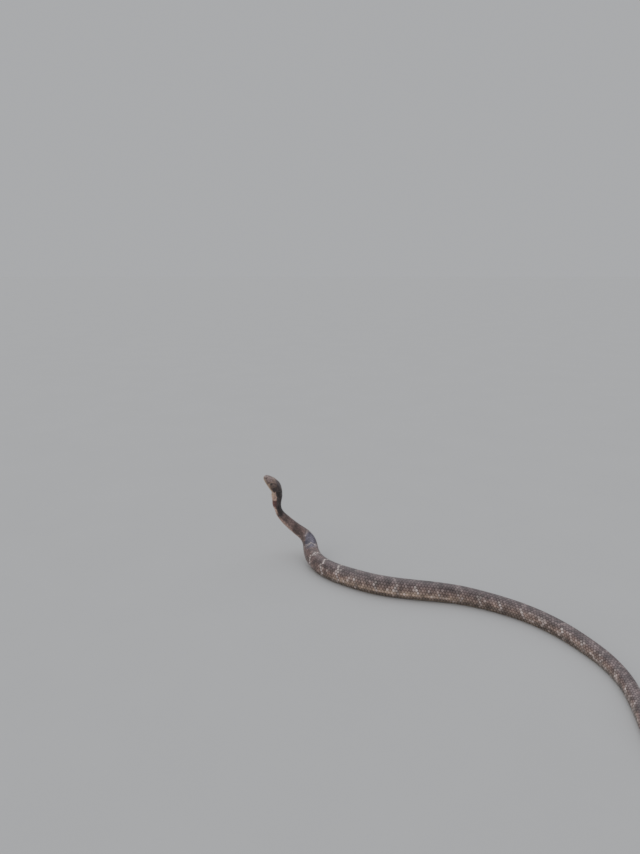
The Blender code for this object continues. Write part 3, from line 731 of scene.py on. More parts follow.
def build_skin(finish):
    """One closed skin from snout to tail tip: rings of the snake's section, sunk by the coat's depth."""
    head = HEAD_LENGTH * np.linspace(0.05, 1, HEAD_RINGS) ** HEAD_SPACING
    neck = np.linspace(HEAD_LENGTH, NECK_ENDS, NECK_RINGS)[1:]
    body = np.linspace(NECK_ENDS, SKIN_ENDS, BODY_RINGS)[1:]
    rings = np.concatenate([head, neck, body])
    phi = np.linspace(-180, 180, SKIN_SIDES, endpoint=False)
    s, turn = np.meshgrid(rings, phi, indexing="ij")
    sunk = NECK_SUNK * window(s, *NECK_SUNK_SPAN)
    height = skin_height(s) + mouth_groove(s, turn) + nostril_pit(s, turn) - sunk
    points = raised(s, turn, height).reshape(-1, 3)
    count = len(points)
    tip = in_head(SNOUT_DEPTH, 0.0, HEAD_OUTLINE[0][2])
    end = surface(np.array(TOTAL_LENGTH), np.array([0.0, 180.0])).mean(axis=0)
    points = np.concatenate([points, [tip, end]])
    first, last = np.arange(SKIN_SIDES), np.arange(count - SKIN_SIDES, count)
    corners, faces = joined_corners(
        fan(count, first, turned=True), ring_quads(len(rings), SKIN_SIDES), fan(count + 1, last, turned=False)
    )
    s = s.ravel()
    q = wrapped(WRAP.q(s, turn.ravel()) - np.interp(s, NECK_S, NECK_TURN))
    phase = band_phase(np.interp(s, ROW_S, ROW_COUNT), q / row_width(s))
    pale = np.clip(1 - np.abs(phase) / 0.6, 0, 1) * band_strength(s, q)
    on_throat = smooth_step(np.abs(q), 0.60, 0.68) * (1 - smooth_step(s, 0.09, 0.10))
    pale = np.append(SKIN_PALE * pale, [0, 0])
    edge = np.append(SKIN_EDGE - THROAT_EDGE * on_throat, [SKIN_EDGE] * 2)
    s, q = np.append(s, [0, TOTAL_LENGTH]), np.append(q, [0.5, 0.5])
    marks = coat_marks(s, q, pale, edge, SKIN_CHANCE)
    skin = make_piece("skin", points, corners, faces, marks, finish, "body_scales", sharp=80)
    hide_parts(*FLESH)
    return skin


def mouth_groove(s, phi):
    """The fold between the lips: a bell-shaped trough along the line of the mouth."""
    _, z = section(s, phi)
    off = (z - mouth_height(s)) / GROOVE_WIDTH
    reach = 1 - smooth_step(s, *GROOVE_ENDS)
    return -GROOVE_DEPTH * np.exp(-off * off) * reach * (s < GROOVE_ENDS[1])


def nostril_pit(s, phi):
    """A bowl at each nostril."""
    _, z = section(s, phi)
    off = np.hypot(s - NOSTRIL_AT[0], z - NOSTRIL_AT[1]) / (NOSTRIL_RADIUS * 0.95)
    return -PIT_DEPTH * np.clip(1 - off**3, 0, 1) * (s < PIT_REACH)


# Scales: each is a thin, closed, domed tile whose rear edge lies over the next ones

SCALE_SIDES = 12
SCALE_POWER = 1.55
SCALE_RINGS = ((0.55, 0.0), (0.90, 0.0), (1.0, -0.12), (0.97, -0.62))  # share of the outline, drop
SCALE_UNDERSIDE = -0.90
SCALE_THICKNESS = 0.55  # of the coat's depth, for a drop of 1
SCALE_FRONT = 0.04  # how far a scale's front edge stands up, as a share of the coat
SCALE_VARIES = (0.97, 1.03)
SCALE_TURNS = 0.035
SHIELD_REACH = 1.01
EYE_REACH = 0.0052
LIP_REACH, LIP_ENDS = 0.0016, 0.061


def scale_shape():
    """One scale's points as (u, v, drop, part of the edge), u and v in units of its half sizes.

    Rings of a rounded rhomb |u|^n + |v|^n = 1 shrink to its middle. One more ring under the edge and a
    fan about a lower middle close it, so the underside follows a hollow surface too.
    """
    t = np.linspace(0, 2 * np.pi, SCALE_SIDES, endpoint=False)
    u, v = (np.sign(wave) * np.abs(wave) ** (2 / SCALE_POWER) for wave in (np.cos(t), np.sin(t)))
    points = [np.zeros((1, 4))]
    for share, drop in SCALE_RINGS:
        points.append(np.stack(np.broadcast_arrays(u * share, v * share, drop, share), axis=1))
    points.append(np.array([[0.0, 0.0, SCALE_UNDERSIDE, 1.0]]))
    n = SCALE_SIDES
    top = fan(0, np.arange(1, 1 + n), turned=True)
    bottom = fan(1 + 4 * n, np.arange(1 + 3 * n, 1 + 4 * n), turned=False)
    corners, faces = joined_corners(top, ring_quads(4, n) + 1, bottom)
    shape = np.concatenate(points)
    shape[1 + 3 * n :, 3] = 1.0
    patch = shape[corners, :2] * 0.5
    patch[-3 * n :] = patch[-3 * n :] * 0.5 + (0.0, 1.1)  # the bottom has its own place in the bake map
    patch[-7 * n : -3 * n] *= 1.12  # so has the rim, round the top
    return shape, corners, faces, patch


def one_row(s, q, counts, across, width):
    """A row of scales as places: s, q, row count along, row across, row width."""
    return np.stack(np.broadcast_arrays(s, q, counts, across, width), axis=1)


def scale_rows():
    """Places of all the scales of the back and flanks, from head to tail."""
    places = []
    ends = [row[0] for row in ROWS[1:]] + [SCALES_END]
    for (start, rows), end in zip(ROWS, ends):
        first, last = np.interp([start, end], ROW_S, ROW_COUNT)
        for row in range(rows):
            across = row - (rows - 1) // 2
            shift = 0.5 * (across % 2)
            counts = np.arange(math.ceil(first - shift), math.ceil(last - shift)) + shift
            s = np.interp(counts, ROW_COUNT, ROW_S)
            width = 2 * WRAP.q(s, BELLY_FROM_PHI) / rows
            places.append(one_row(s, across * width, counts, across, width))
    places = np.concatenate(places)
    return places[np.argsort(places[:, 0], kind="stable")]


def inside(outline, s, phi):
    """Whether places (s, phi) are inside a closed outline of (s, phi) corners, by crossings of its edges."""
    hit = np.zeros(len(s), bool)
    for (s1, p1), (s2, p2) in zip(outline, np.roll(outline, -1, axis=0)):
        crosses = (p1 > phi) != (p2 > phi)
        with np.errstate(divide="ignore", invalid="ignore"):
            at = (s2 - s1) * (phi - p1) / (p2 - p1) + s1
        hit ^= crosses & (s < at)
    return hit


def clear_of_shields(s, q):
    """Keeps the scales' centres that no shield, eye or lip covers."""
    phi = WRAP.phi(s, q)
    free = np.ones(len(s), bool)
    _, z = section(s, phi)
    for outline in all_shields():
        corners = np.array(outline)
        middle = corners.mean(axis=0)
        wider = middle + (corners - middle) * SHIELD_REACH
        free &= ~inside(wider / (1000, 1), s, np.abs(phi))
    free &= np.hypot(s - EYE_AT[0], z - EYE_AT[1]) > EYE_REACH
    free &= ~((s < LIP_ENDS) & (np.abs(z - mouth_height(s)) < LIP_REACH))
    return free


def lay_scales(name, places, finish, slot, rng, lift=1.0, span=(0.0, 1.0)):
    """A joined mesh of scales at places (s, q, count, row, width), each following the surface under it."""
    sizes = bpy.context.scene.cobra_sizes
    shape, corners, faces, patch = scale_shape()
    s0, q0, count, row, width = places.T[..., None]
    half_girth = WRAP.half_girth(s0)

    def draw(low, high):
        return rng.uniform(low, high, s0.shape)

    length = pitch_at(s0) * sizes.scale_overlap * draw(*SCALE_VARIES)
    across = width * half_girth * sizes.scale_breadth * draw(*SCALE_VARIES)
    turn = rng.normal(0, SCALE_TURNS, s0.shape)
    forward, sideways, drop, radius = shape.T
    u, v = forward * length, sideways * across
    u, v = u * np.cos(turn) - v * np.sin(turn), v * np.cos(turn) + u * np.sin(turn)
    s = np.clip(s0 + u, FIRST_OF_SNOUT, LAST_OF_TAIL)
    q = q0 + v / half_girth
    tilt = SCALE_FRONT + sizes.scale_rise * (forward * 0.5 + 0.5) + sizes.scale_dome * (1 - radius**2)
    height = skin_height(s) + coat_depth(s0) * lift * (tilt + drop * SCALE_THICKNESS)
    chance = draw(0, 1)
    pale = paleness(s0, q0, count, row, draw)
    start, end = span
    root = np.stack([0.02 + 0.96 * (s0 - start) / (end - start), 0.5 + 0.48 * q0], axis=-1)
    bake_map = (root + patch * PATCH).reshape(-1, 2)
    corners, faces = repeated(corners, faces, len(shape), len(s0))
    marks = coat_marks(s, q, pale, radius, chance)
    points = coat_place(s, q, height).reshape(-1, 3)
    return make_piece(name, points, corners, faces, marks, finish, slot, bake_map)


def build_scales(finish):
    """The scales of the back and flanks, in joined pieces from nape to tail tip."""
    rng = np.random.default_rng(BACK_SEED)
    places = scale_rows()
    near_head = places[:, 0] < HEAD_LENGTH
    keep = np.ones(len(places), bool)
    keep[near_head] = clear_of_shields(places[near_head, 0], places[near_head, 1])
    places = places[keep]
    for name, start, end, slot in COAT_PIECES:
        chosen = places[(places[:, 0] >= start) & (places[:, 0] < end)]
        lay_scales(name, chosen, finish, slot, rng, span=(start, end))


def build_throat_scales(finish):
    """Small scales of the chin and throat, between the lips and the first scutes of the belly."""
    rng = np.random.default_rng(THROAT_SEED)
    places = []
    for row in range(THROAT_ROWS):
        across = row - (THROAT_ROWS - 1) // 2
        s = np.arange(THROAT_START, THROAT_END, THROAT_PITCH) + 0.5 * THROAT_PITCH * (across % 2)
        width = 2 * (1 - WRAP.q(s, THROAT_FROM_PHI)) / THROAT_ROWS
        places.append(one_row(s, 1 + across * width, BAND_EVERY / 2, across, width))
    places = np.concatenate(places)
    places[:, 1] = wrapped(places[:, 1])
    places = places[clear_of_shields(places[:, 0], places[:, 1])]
    s, q = places[:, :2].T
    _, z = section(s, WRAP.phi(s, q))
    below_mouth = z < mouth_height(s) - 0.0012
    past = np.abs(q) > WRAP.q(s, BELLY_FROM_PHI) - 0.02
    places = places[np.where(s < JAW_ENDS, below_mouth, past)]
    lay_scales("scales_throat", places, finish, "throat", rng, lift=0.75, span=(0.0, 0.09))


# Scutes of the belly: broad plates across it, each with its rear edge over the next

SCUTE_ACROSS = 14
SCUTE_BOW = 0.105  # how far a scute's middle reaches back past its sides, as a share of the pitch
SCUTE_INSIDE_PHI = 1.5  # degrees from the last row of scales to a scute's side
FIRST_NARROWER, FULL_WIDTH_FROM = 0.05, 0.098  # the first scutes are that much narrower, up to there
PAIR_GAP = 0.02  # from the middle of the tail to a paired scute, as a share of the half width
SCUTE_PROFILE = (
    # u, height as a share of the coat, part of the edge: the top from front to rear, the underside back
    (-0.30, -0.30, 0.6),
    (0.20, 0.22, 0.0),
    (0.75, 0.72, 0.2),
    (0.97, 0.92, 0.8),
    (1.06, 0.80, 1.0),
    (1.05, 0.42, 1.0),
    (0.2, -0.25, 0.6),
)


def scute_shape(start, end):
    """One scute's points as (u, c, height, edge): a closed flat profile carried across the belly.

    c runs from start to end, -1 to 1 being the whole width.
    """
    profile = np.array(SCUTE_PROFILE)
    c = np.linspace(start, end, SCUTE_ACROSS + 1)
    loops, columns = len(profile), len(c)
    k, j = np.meshgrid(np.arange(loops), np.arange(columns), indexing="ij")
    nearly_side = smooth_step(np.abs(c), 0.93, 1.0)[j]
    shape = np.stack([profile[k, 0], c[j], profile[k, 1] * (1 - 0.8 * nearly_side), profile[k, 2]], axis=-1)
    a, b = np.meshgrid(np.arange(loops), np.arange(columns - 1), indexing="ij")
    here, after = a * columns + b, (a + 1) % loops * columns + b
    quads = np.stack([here, here + 1, after + 1, after], axis=-1)
    caps = np.stack([np.arange(loops) * columns, (np.arange(loops) * columns + columns - 1)[::-1]])
    corners, faces = joined_corners(quads.reshape(-1, 4), caps)
    return shape.reshape(-1, 4), corners, faces


def lay_scutes(places, start, end, rng):
    """Arrays for scutes whose front edges are at places along the body."""
    shape, corners, faces = scute_shape(start, end)
    s0 = places[:, None]
    pitch = pitch_at(s0)
    u, c, height, edge = shape.T
    s = np.minimum(s0 + pitch * (u + SCUTE_BOW * (1 - np.abs(c)) ** 2), LAST_OF_TAIL)
    narrow = 1 - FIRST_NARROWER * (1 - smooth_step(s0, FIRST_SCUTE, FULL_WIDTH_FROM))
    q = 1 + c * (1 - WRAP.q(s, BELLY_FROM_PHI + SCUTE_INSIDE_PHI)) * narrow
    points = coat_place(s, q, skin_height(s) + coat_depth(s) * height).reshape(-1, 3)
    corners, faces = repeated(corners, faces, len(shape), len(places))
    marks = coat_marks(s, q, 0.0, edge, rng.uniform(0, 1, s0.shape))
    return points, corners, faces, marks | {"unrolled": q.ravel()}


def joined(parts):
    """Several (points, corners, faces, marks) as one."""
    shift, corners = 0, []
    for part in parts:
        corners.append(part[1] + shift)
        shift += len(part[0])
    points = np.concatenate([part[0] for part in parts])
    faces = np.concatenate([part[2] for part in parts])
    marks = {mark: np.concatenate([part[3][mark] for part in parts]) for mark in parts[0][3]}
    return points, np.concatenate(corners), faces, marks


def build_scutes(finish):
    """The belly's single scutes, and the pairs under the tail."""
    rng = np.random.default_rng(SCUTE_SEED)
    first, last = np.interp([FIRST_SCUTE, TOTAL_LENGTH - 0.010], ROW_S, ROW_COUNT)
    starts = np.interp(np.arange(math.ceil(first), last), ROW_COUNT, ROW_S)
    single = starts[starts < PAIRED_FROM]
    paired = starts[starts >= PAIRED_FROM]
    halfway = paired + 0.5 * pitch_at(paired)
    spans = ((single, -1, 1), (paired, -1, -PAIR_GAP), (halfway[:-1], PAIR_GAP, 1))
    points, corners, faces, marks = joined([lay_scutes(*span, rng) for span in spans])
    bake_map = np.stack([marks["along"] / TOTAL_LENGTH, marks.pop("unrolled") / 2], axis=1)[corners]
    make_piece("belly_scutes", points, corners, faces, marks, finish, "body_scales", bake_map)


# Shields of the head

SHIELD_SIDES = 40
SHIELD_RINGS = (
    # distance in from the edge, height as a share of the rise, part of the edge
    (0.0, -1.2, 1.0),
    (0.0, 0.10, 1.0),
    (0.00010, 0.58, 0.85),
    (0.00028, 0.88, 0.50),
    (0.00070, 1.0, 0.30),
)
SHIELD_INNER = ((0.66, 1.03), (0.33, 1.06))  # share of what is left to the middle, height
SHIELD_MIDDLE = 1.07
SHIELD_SHARE = 0.35  # no ring before those is smaller than this share of the outline
CORNER_STEPS = 6
CORNER_SHARE = 0.4  # a corner's curve takes up no more than this share of an edge
MITRE_LIMIT = 0.6  # keeps sharp corners from being moved too far inwards
TOP_CORNER, SIDE_CORNER, JAW_CORNER = 0.0006, 0.0004, 0.0005  # radius of the plates' corners
MENTAL_TIP, MENTAL_LIP, MENTAL_REAR = (1.5, 180), 1.7, (6.6, 180)
ROSTRAL_RINGS = (
    # share of the way from the tip to the edge, height as a share of the rise, part of the edge
    (1.0, -1.1, 1.0),
    (1.0, 0.3, 1.0),
    (0.93, 0.7, 0.5),
    (0.80, 0.95, 0.3),
    (0.55, 1.0, 0.2),
    (0.30, 1.0, 0.1),
    (0.12, 1.0, 0.05),
)


def mirrored(corners):
    """The same outline on the right side."""
    return tuple((a, -phi) for a, phi in reversed(corners))


def outline_at(a, z):
    """Corners (a, phi) from places and heights above the throat's line, all but phi in mm."""
    return tuple(zip(a, phi_at_height(a / 1000, z / 1000)))


def along_jaw(a):
    """Corners (a, phi) on the lower jaw, along the line of the mouth."""
    return tuple(zip(a, phi_at_height(a / 1000, mouth_height(a / 1000) - LOWER_LIP_CLEAR)))


def upper_lip():
    """Outlines of the upper lip's plates, from the line of the mouth up, left side."""
    outlines = []
    for i in range(len(UPPER_LIP_EDGES) - 1):
        low = np.linspace(UPPER_LIP_EDGES[i], UPPER_LIP_EDGES[i + 1], 3)
        top = np.linspace(UPPER_LIP_TOP_EDGES[i + 1], UPPER_LIP_TOP_EDGES[i], 3)
        low_z = mouth_height(low / 1000) * 1000 + UPPER_LIP_CLEAR
        top_z = np.interp(top, *np.array(UPPER_LIP_TOP).T)
        outlines.append(outline_at(np.append(low, top), np.append(low_z, top_z)))
    return outlines


def lower_lip():
    """Outlines of the lower lip's plates, from the line of the mouth down, left side."""
    outlines = []
    for i in range(len(LOWER_LIP_EDGES) - 1):
        edge = along_jaw(np.linspace(LOWER_LIP_EDGES[i], LOWER_LIP_EDGES[i + 1], 3))
        # The first pair meets behind the mental
        chin = (CHIN_SHIELDS["chin_front"][0], MENTAL_REAR) if i == 0 else ()
        outlines.append((*edge, LOWER_LIP_BOTTOM[i + 1], *chin, LOWER_LIP_BOTTOM[i]))
    return outlines


def side_shields():
    """Outlines of the plates round the nostril and eye and behind it, left side."""
    return [outline_at(*np.array(corners).T) for corners in SIDE_SHIELDS.values()]


def mental():
    """The plate at the lower jaw's tip, left half."""
    (tip, phi), corner = along_jaw(np.array([MENTAL_LIP, LOWER_LIP_EDGES[0]]))
    return (MENTAL_TIP, (tip, phi + 2), corner, LOWER_LIP_BOTTOM[0], MENTAL_REAR)


def all_shields():
    """Outlines of the left side's shields."""
    return [*SHIELDS.values(), *CHIN_SHIELDS.values(), *side_shields(), *upper_lip(), *lower_lip(), mental()]


def signed_area(points):
    """The area inside a closed outline, negative where it runs clockwise."""
    x, y = points.T
    return 0.5 * (x * np.roll(y, -1) - y * np.roll(x, -1)).sum()


def with_neighbours(points):
    """Each corner of a closed outline between the one before and the one after."""
    return zip(np.roll(points, 1, axis=0), points, np.roll(points, -1, axis=0))


def rounded_outline(corners, by, radius, count):
    """A plate's outline moved inwards, with its corners rounded by quadratic curves, evenly divided.

    corners are in metres on the unrolled skin.
    """
    flat = corners if signed_area(corners) >= 0 else corners[::-1]
    moved = []
    for before, here, after in with_neighbours(flat):
        first, second = here - before, after - here
        n1 = np.array([-first[1], first[0]]) / np.linalg.norm(first)
        n2 = np.array([-second[1], second[0]]) / np.linalg.norm(second)
        moved.append(here + by * (n1 + n2) / max(MITRE_LIMIT, 1 + n1 @ n2))
    t = np.linspace(0, 1, CORNER_STEPS)[:, None]
    points = []
    for before, here, after in with_neighbours(np.array(moved)):
        back, on = before - here, after - here
        near = min(radius, CORNER_SHARE * np.linalg.norm(back), CORNER_SHARE * np.linalg.norm(on))
        start = here + back / np.linalg.norm(back) * near
        end = here + on / np.linalg.norm(on) * near
        points.append((1 - t) ** 2 * start + 2 * t * (1 - t) * here + t**2 * end)
    points = np.concatenate(points)
    closed = np.concatenate([points, points[:1]])
    run = np.concatenate([[0], np.cumsum(np.linalg.norm(np.diff(closed, axis=0), axis=1))])
    even = np.linspace(0, run[-1], count, endpoint=False)
    return np.stack([np.interp(even, run, closed[:, i]) for i in range(2)], axis=1)


def plate_faces(rings, turned):
    """Faces of a plate made of rings from its root inwards, with its middle as the last point."""
    quads = ring_quads(rings, SHIELD_SIDES)
    count = rings * SHIELD_SIDES
    top = fan(count, np.arange(count - SHIELD_SIDES, count), turned)
    return joined_corners(quads[:, ::-1] if turned else quads, top, np.arange(SHIELD_SIDES)[None, :])


def shield_arrays(corners, rng, radius=TOP_CORNER):
    """One plate: rings that follow its outline inwards to its middle, domed, with a sunk rim and root."""
    sizes = bpy.context.scene.cobra_sizes
    a, phi = np.array(corners, float).T
    a = a / 1000
    around = float(WRAP.half_girth(a.mean()))
    flat = np.stack([a, WRAP.unrolled(a, phi) * around], axis=1)
    outline = rounded_outline(flat, sizes.suture / 2, radius, SHIELD_SIDES)
    middle = outline.mean(axis=0)
    reach = np.linalg.norm(outline - middle, axis=1, keepdims=True)
    rings = [(np.maximum(1 - inset / reach, SHIELD_SHARE), *rest) for inset, *rest in SHIELD_RINGS]
    share, _, edge = rings[-1]
    rings += [(share * part, height, edge * part) for part, height in SHIELD_INNER]
    shares, heights, edges = zip(*rings)
    places = np.concatenate([*(middle + (outline - middle) * share for share in shares), middle[None]])
    s, q = places[:, 0], places[:, 1] / around
    rise = np.append(np.repeat(heights, SHIELD_SIDES), SHIELD_MIDDLE) * sizes.shield_rise
    marks = coat_marks(s, q, 0.0, np.append(np.repeat(edges, SHIELD_SIDES), 0.0), rng.uniform())
    return coat_place(s, q, rise), *plate_faces(len(rings), turned=True), marks


def rostral_arrays(rng):
    """The plate round the snout's tip: rings about it out to an edge given by the angle."""
    sizes = bpy.context.scene.cobra_sizes
    phi = np.linspace(-180, 180, SHIELD_SIDES, endpoint=False)
    border = np.interp(np.abs(phi), *np.array(ROSTRAL_EDGE, float).T) / 1000 - sizes.suture / 2
    count = len(ROSTRAL_RINGS)
    shares, heights, edges = np.repeat(np.array(ROSTRAL_RINGS).T, SHIELD_SIDES, axis=1)
    s, turn = np.tile(border, count) * shares, np.tile(phi, count)
    tip = in_head(-sizes.shield_rise * 0.6, 0.0, HEAD_OUTLINE[0][2])
    points = np.concatenate([raised(s, turn, heights * sizes.shield_rise), tip[None]])
    q = np.append(WRAP.q(s, turn), 0.4)
    marks = coat_marks(np.append(s, 0), q, 0.0, np.append(edges, 0), rng.uniform())
    return points, *plate_faces(count, turned=False), marks


def shield_piece(name, parts, finish, slot):
    """Joins plates into one piece, with the skin's own unwrap of the head as its bake map."""
    points, corners, faces, marks = joined([part[:4] for part in parts])
    side = np.concatenate([np.full(len(part[0]), part[4]) for part in parts])[corners]
    along, around = marks["along"][corners], marks["around"][corners]
    bake_map = np.stack([along / HEAD_LENGTH, 0.5 + 0.5 * side * around], axis=1)
    return make_piece(name, points, corners, faces, marks, finish, slot, bake_map, sharp=60)


def both_sides(outlines, rng, radius=TOP_CORNER):
    """Each plate and its mirror image, with the side that it is on."""
    parts = []
    for corners in outlines:
        parts.append((*shield_arrays(corners, rng, radius), 1.0))
        parts.append((*shield_arrays(mirrored(corners), rng, radius), -1.0))
    return parts


def build_head_shields(finish, jaw_finish):
    """The plates of the head's top, sides and upper lip, and those of the lower jaw."""
    rng = np.random.default_rng(SHIELD_SEED)
    parts = both_sides([corners for name, corners in SHIELDS.items() if name != "frontal"], rng)
    half = SHIELDS["frontal"]
    whole = (*half, *(corner for corner in mirrored(half) if corner[1] != 0))
    parts.append((*shield_arrays(whole, rng), 1.0))
    parts += both_sides([*side_shields(), *upper_lip()], rng, SIDE_CORNER)
    parts.append((*rostral_arrays(rng), 1.0))
    shield_piece("head_shields", parts, finish, "head_shields")
    jaw = both_sides(lower_lip(), rng, JAW_CORNER)
    jaw += both_sides(CHIN_SHIELDS.values(), rng)
    half = mental()
    whole = (*half, *((a, 360 - phi) for a, phi in reversed(half) if phi != 180))
    jaw.append((*shield_arrays(whole, rng, JAW_CORNER), 1.0))
    shield_piece("jaw_shields", jaw, jaw_finish, "throat")


# Eyes and nostrils

EYE_RINGS, EYE_SIDES = 26, 40
EYE_POLE = 4  # degrees from the eye's axis to its first ring
EYE_AXIS = (0.97, -0.16, 0.12)  # how far the eye looks out, back and up
RIM_SIDES, RIM_ROUND = 40, 10
RIM_FLATTENED = 0.8
RIM_EDGE, RIM_CHANCE = 0.75, 0.4
RIMS = (
    # place, radius, thickness, height above the skin
    (EYE_AT, 0.00356, 0.00036, 0.00006),
    (NOSTRIL_AT, 0.00146, 0.00028, 0.00010),
)


def eye_frame(side):
    """The eye's centre, with its outward direction and two directions across it."""
    a, z = EYE_AT
    x = side * (float(section(a, phi_at_height(a, z))[0]) + EYE_STANDS_OUT - EYE_DIAMETER / 2)
    _, along, left, back = LINE.frame(a)
    sideways, forwards, upwards = EYE_AXIS
    out = side * left * sideways + along * forwards + back * upwards
    out /= np.linalg.norm(out)
    up = back - (back @ out) * out
    up /= np.linalg.norm(up)
    return in_head(a, x, z), out, up, np.cross(up, out)


def eye_arrays(side):
    """A ball about its outward axis, with the ring from the pupil's middle as a mark."""
    centre, out, up, across = eye_frame(side)
    theta = np.radians(np.linspace(EYE_POLE, 180 - EYE_POLE, EYE_RINGS))
    turn = np.linspace(0, 2 * np.pi, EYE_SIDES, endpoint=False)
    theta, turn = np.meshgrid(theta, turn, indexing="ij")
    rim = np.cos(turn)[..., None] * up + np.sin(turn)[..., None] * across
    ball = np.cos(theta)[..., None] * out + np.sin(theta)[..., None] * rim
    points = centre + np.concatenate([ball.reshape(-1, 3), [out, -out]]) * EYE_DIAMETER / 2
    count = EYE_RINGS * EYE_SIDES
    front = fan(count, np.arange(EYE_SIDES), turned=True)
    rear = fan(count + 1, np.arange(count - EYE_SIDES, count), turned=False)
    corners, faces = joined_corners(ring_quads(EYE_RINGS, EYE_SIDES), front, rear)
    marks = {
        "ring": np.append(np.degrees(theta).ravel(), [0, 180]) / 90,
        "spoke": np.append(turn.ravel(), [0, 0]) / (2 * np.pi),
    }
    return points, corners, faces, marks


def tube_round(place, radius, thickness, height, side):
    """A closed ring lying on the head's side about a place: a circle carried round a circle."""
    a0, z0 = place
    t = np.linspace(0, 2 * np.pi, RIM_SIDES, endpoint=False)
    a, z = a0 + radius * np.cos(t), z0 + radius * np.sin(t)
    phi = side * phi_at_height(a, z)
    centre, out = surface(a, phi), outward(a, phi)
    away = centre - surface(np.array(a0), np.array(side * float(phi_at_height(a0, z0))))
    away -= (away * out).sum(axis=1, keepdims=True) * out
    away /= np.linalg.norm(away, axis=1, keepdims=True)
    w = np.linspace(0, 2 * np.pi, RIM_ROUND, endpoint=False)[:, None]
    round_tube = np.cos(w) * away[:, None] + RIM_FLATTENED * np.sin(w) * out[:, None]
    points = (centre[:, None] + out[:, None] * height + thickness * round_tube).reshape(-1, 3)
    i, j = np.meshgrid(np.arange(RIM_SIDES), np.arange(RIM_ROUND), indexing="ij")
    here, beside = i * RIM_ROUND, (i + 1) % RIM_SIDES * RIM_ROUND
    after = (j + 1) % RIM_ROUND
    quads = np.stack([here + j, beside + j, beside + after, here + after], axis=-1).reshape(-1, 4)
    corners, faces = joined_corners(quads if side > 0 else quads[:, ::-1])
    s, q = np.repeat(a, RIM_ROUND), np.repeat(WRAP.q(a, phi), RIM_ROUND)
    return points, corners, faces, coat_marks(s, q, 0.0, RIM_EDGE, RIM_CHANCE)


def outward_faces(piece):
    """Turns every closed part of a piece to face outwards."""
    form = bmesh.new()
    form.from_mesh(piece.data)
    bmesh.ops.recalc_face_normals(form, faces=form.faces)
    form.to_mesh(piece.data)
    form.free()


def build_eyes(finish, rim_finish):
    """Both eyes, and the rims round them and the nostrils."""
    for name, node, side in (("left_eye", "eye_left", 1.0), ("right_eye", "eye_right", -1.0)):
        piece = make_piece(name, *eye_arrays(side), finish, "eye", sharp=80)
        outward_faces(piece)
        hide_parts(node)
    parts = [tube_round(*rim, side) for side in (1.0, -1.0) for rim in RIMS]
    piece = make_piece("eye_and_nostril_rims", *joined(parts), rim_finish, "head_shields", sharp=80)
    outward_faces(piece)


# Materials

VALUE, COLOUR = "NodeSocketFloat", "NodeSocketColor"
BODY_MARKS = ("along", "around", "pale", "edge", "chance")
BODY_PAINTS = (
    "back", "flank", "low_flank", "shade", "neck", "nape", "sheen",
    "rose", "throat_warm", "tail", "rim", "band",
)
SKIN_DARKENED = ("back", "flank", "low_flank", "shade", "neck", "sheen", "tail")
SKIN_DARKNESS = 0.35
HEAD_MARKS = ("along", "around", "edge", "chance")
HEAD_PAINTS = ("face", "mottle", "fleck", "nape", "lip", "rim")
IRIS_DARK = (0.020, 0.010, 0.005)
IRIS_RING = (0.34, 0.20, 0.07)
PUPIL = (0.002, 0.002, 0.002)
EYE_BORDER = (0.005, 0.004, 0.004)


class Nodes:
    """Short ways to add linked nodes to a tree."""

    def __init__(self, tree):
        self.tree = tree
        tree.nodes.clear()

    def add(self, kind, **settings):
        """A new node with its own settings."""
        node = self.tree.nodes.new(kind)
        for setting, value in settings.items():
            setattr(node, setting, value)
        return node

    def put(self, value, socket):
        """Links a socket to an input, or sets the input to a colour or a number."""
        if isinstance(value, bpy.types.NodeSocket):
            self.tree.links.new(value, socket)
        elif isinstance(value, tuple):
            socket.default_value = (*value, 1)
        else:
            socket.default_value = value

    def fill(self, node, values):
        """Puts values on a node's sockets, by name or number."""
        for socket, value in values.items():
            self.put(value, node.inputs[socket])
        return node.outputs

    def maths(self, operation, *values):
        """The result of one operation on up to three values."""
        return self.fill(self.add("ShaderNodeMath", operation=operation), dict(enumerate(values)))[0]

    def product(self, first, *values):
        """All the values multiplied."""
        for value in values:
            first = self.maths("MULTIPLY", first, value)
        return first

    def linear(self, value, slope, start):
        """The value times slope, plus start."""
        return self.maths("MULTIPLY_ADD", value, slope, start)

    def swayed(self, value, noise, by):
        """A value moved up and down by a noise about a half."""
        return self.linear(self.maths("SUBTRACT", noise, 0.5), by, value)

    def mixed(self, amount, first, second, kind="MIX"):
        """The second colour laid over the first by an amount."""
        node = self.add("ShaderNodeMix", data_type="RGBA", blend_type=kind)
        return self.fill(node, {0: amount, 6: first, 7: second})[2]

    def between(self, value, start, end, low=0.0, high=1.0):
        """A smooth rise from low to high as the value goes from start to end."""
        node = self.add("ShaderNodeMapRange", interpolation_type="SMOOTHSTEP")
        return self.fill(node, dict(enumerate((value, start, end, low, high))))[0]

    def noise(self, scale, detail, roughness):
        """Noise about the snake's own axes."""
        where = self.add("ShaderNodeTexCoord").outputs["Object"]
        values = {"Vector": where, "Scale": scale, "Detail": detail, "Roughness": roughness}
        return self.fill(self.add("ShaderNodeTexNoise"), values)["Fac"]

    def times(self, colour, value):
        """A colour made lighter or darker by a value."""
        grey = self.fill(self.add("ShaderNodeCombineColor"), {0: value, 1: value, 2: value})[0]
        return self.mixed(1.0, colour, grey, "MULTIPLY")

    def mark(self, name):
        """A value that the mesh carries at each of its points."""
        return self.add("ShaderNodeAttribute", attribute_type="GEOMETRY", attribute_name=name).outputs["Fac"]


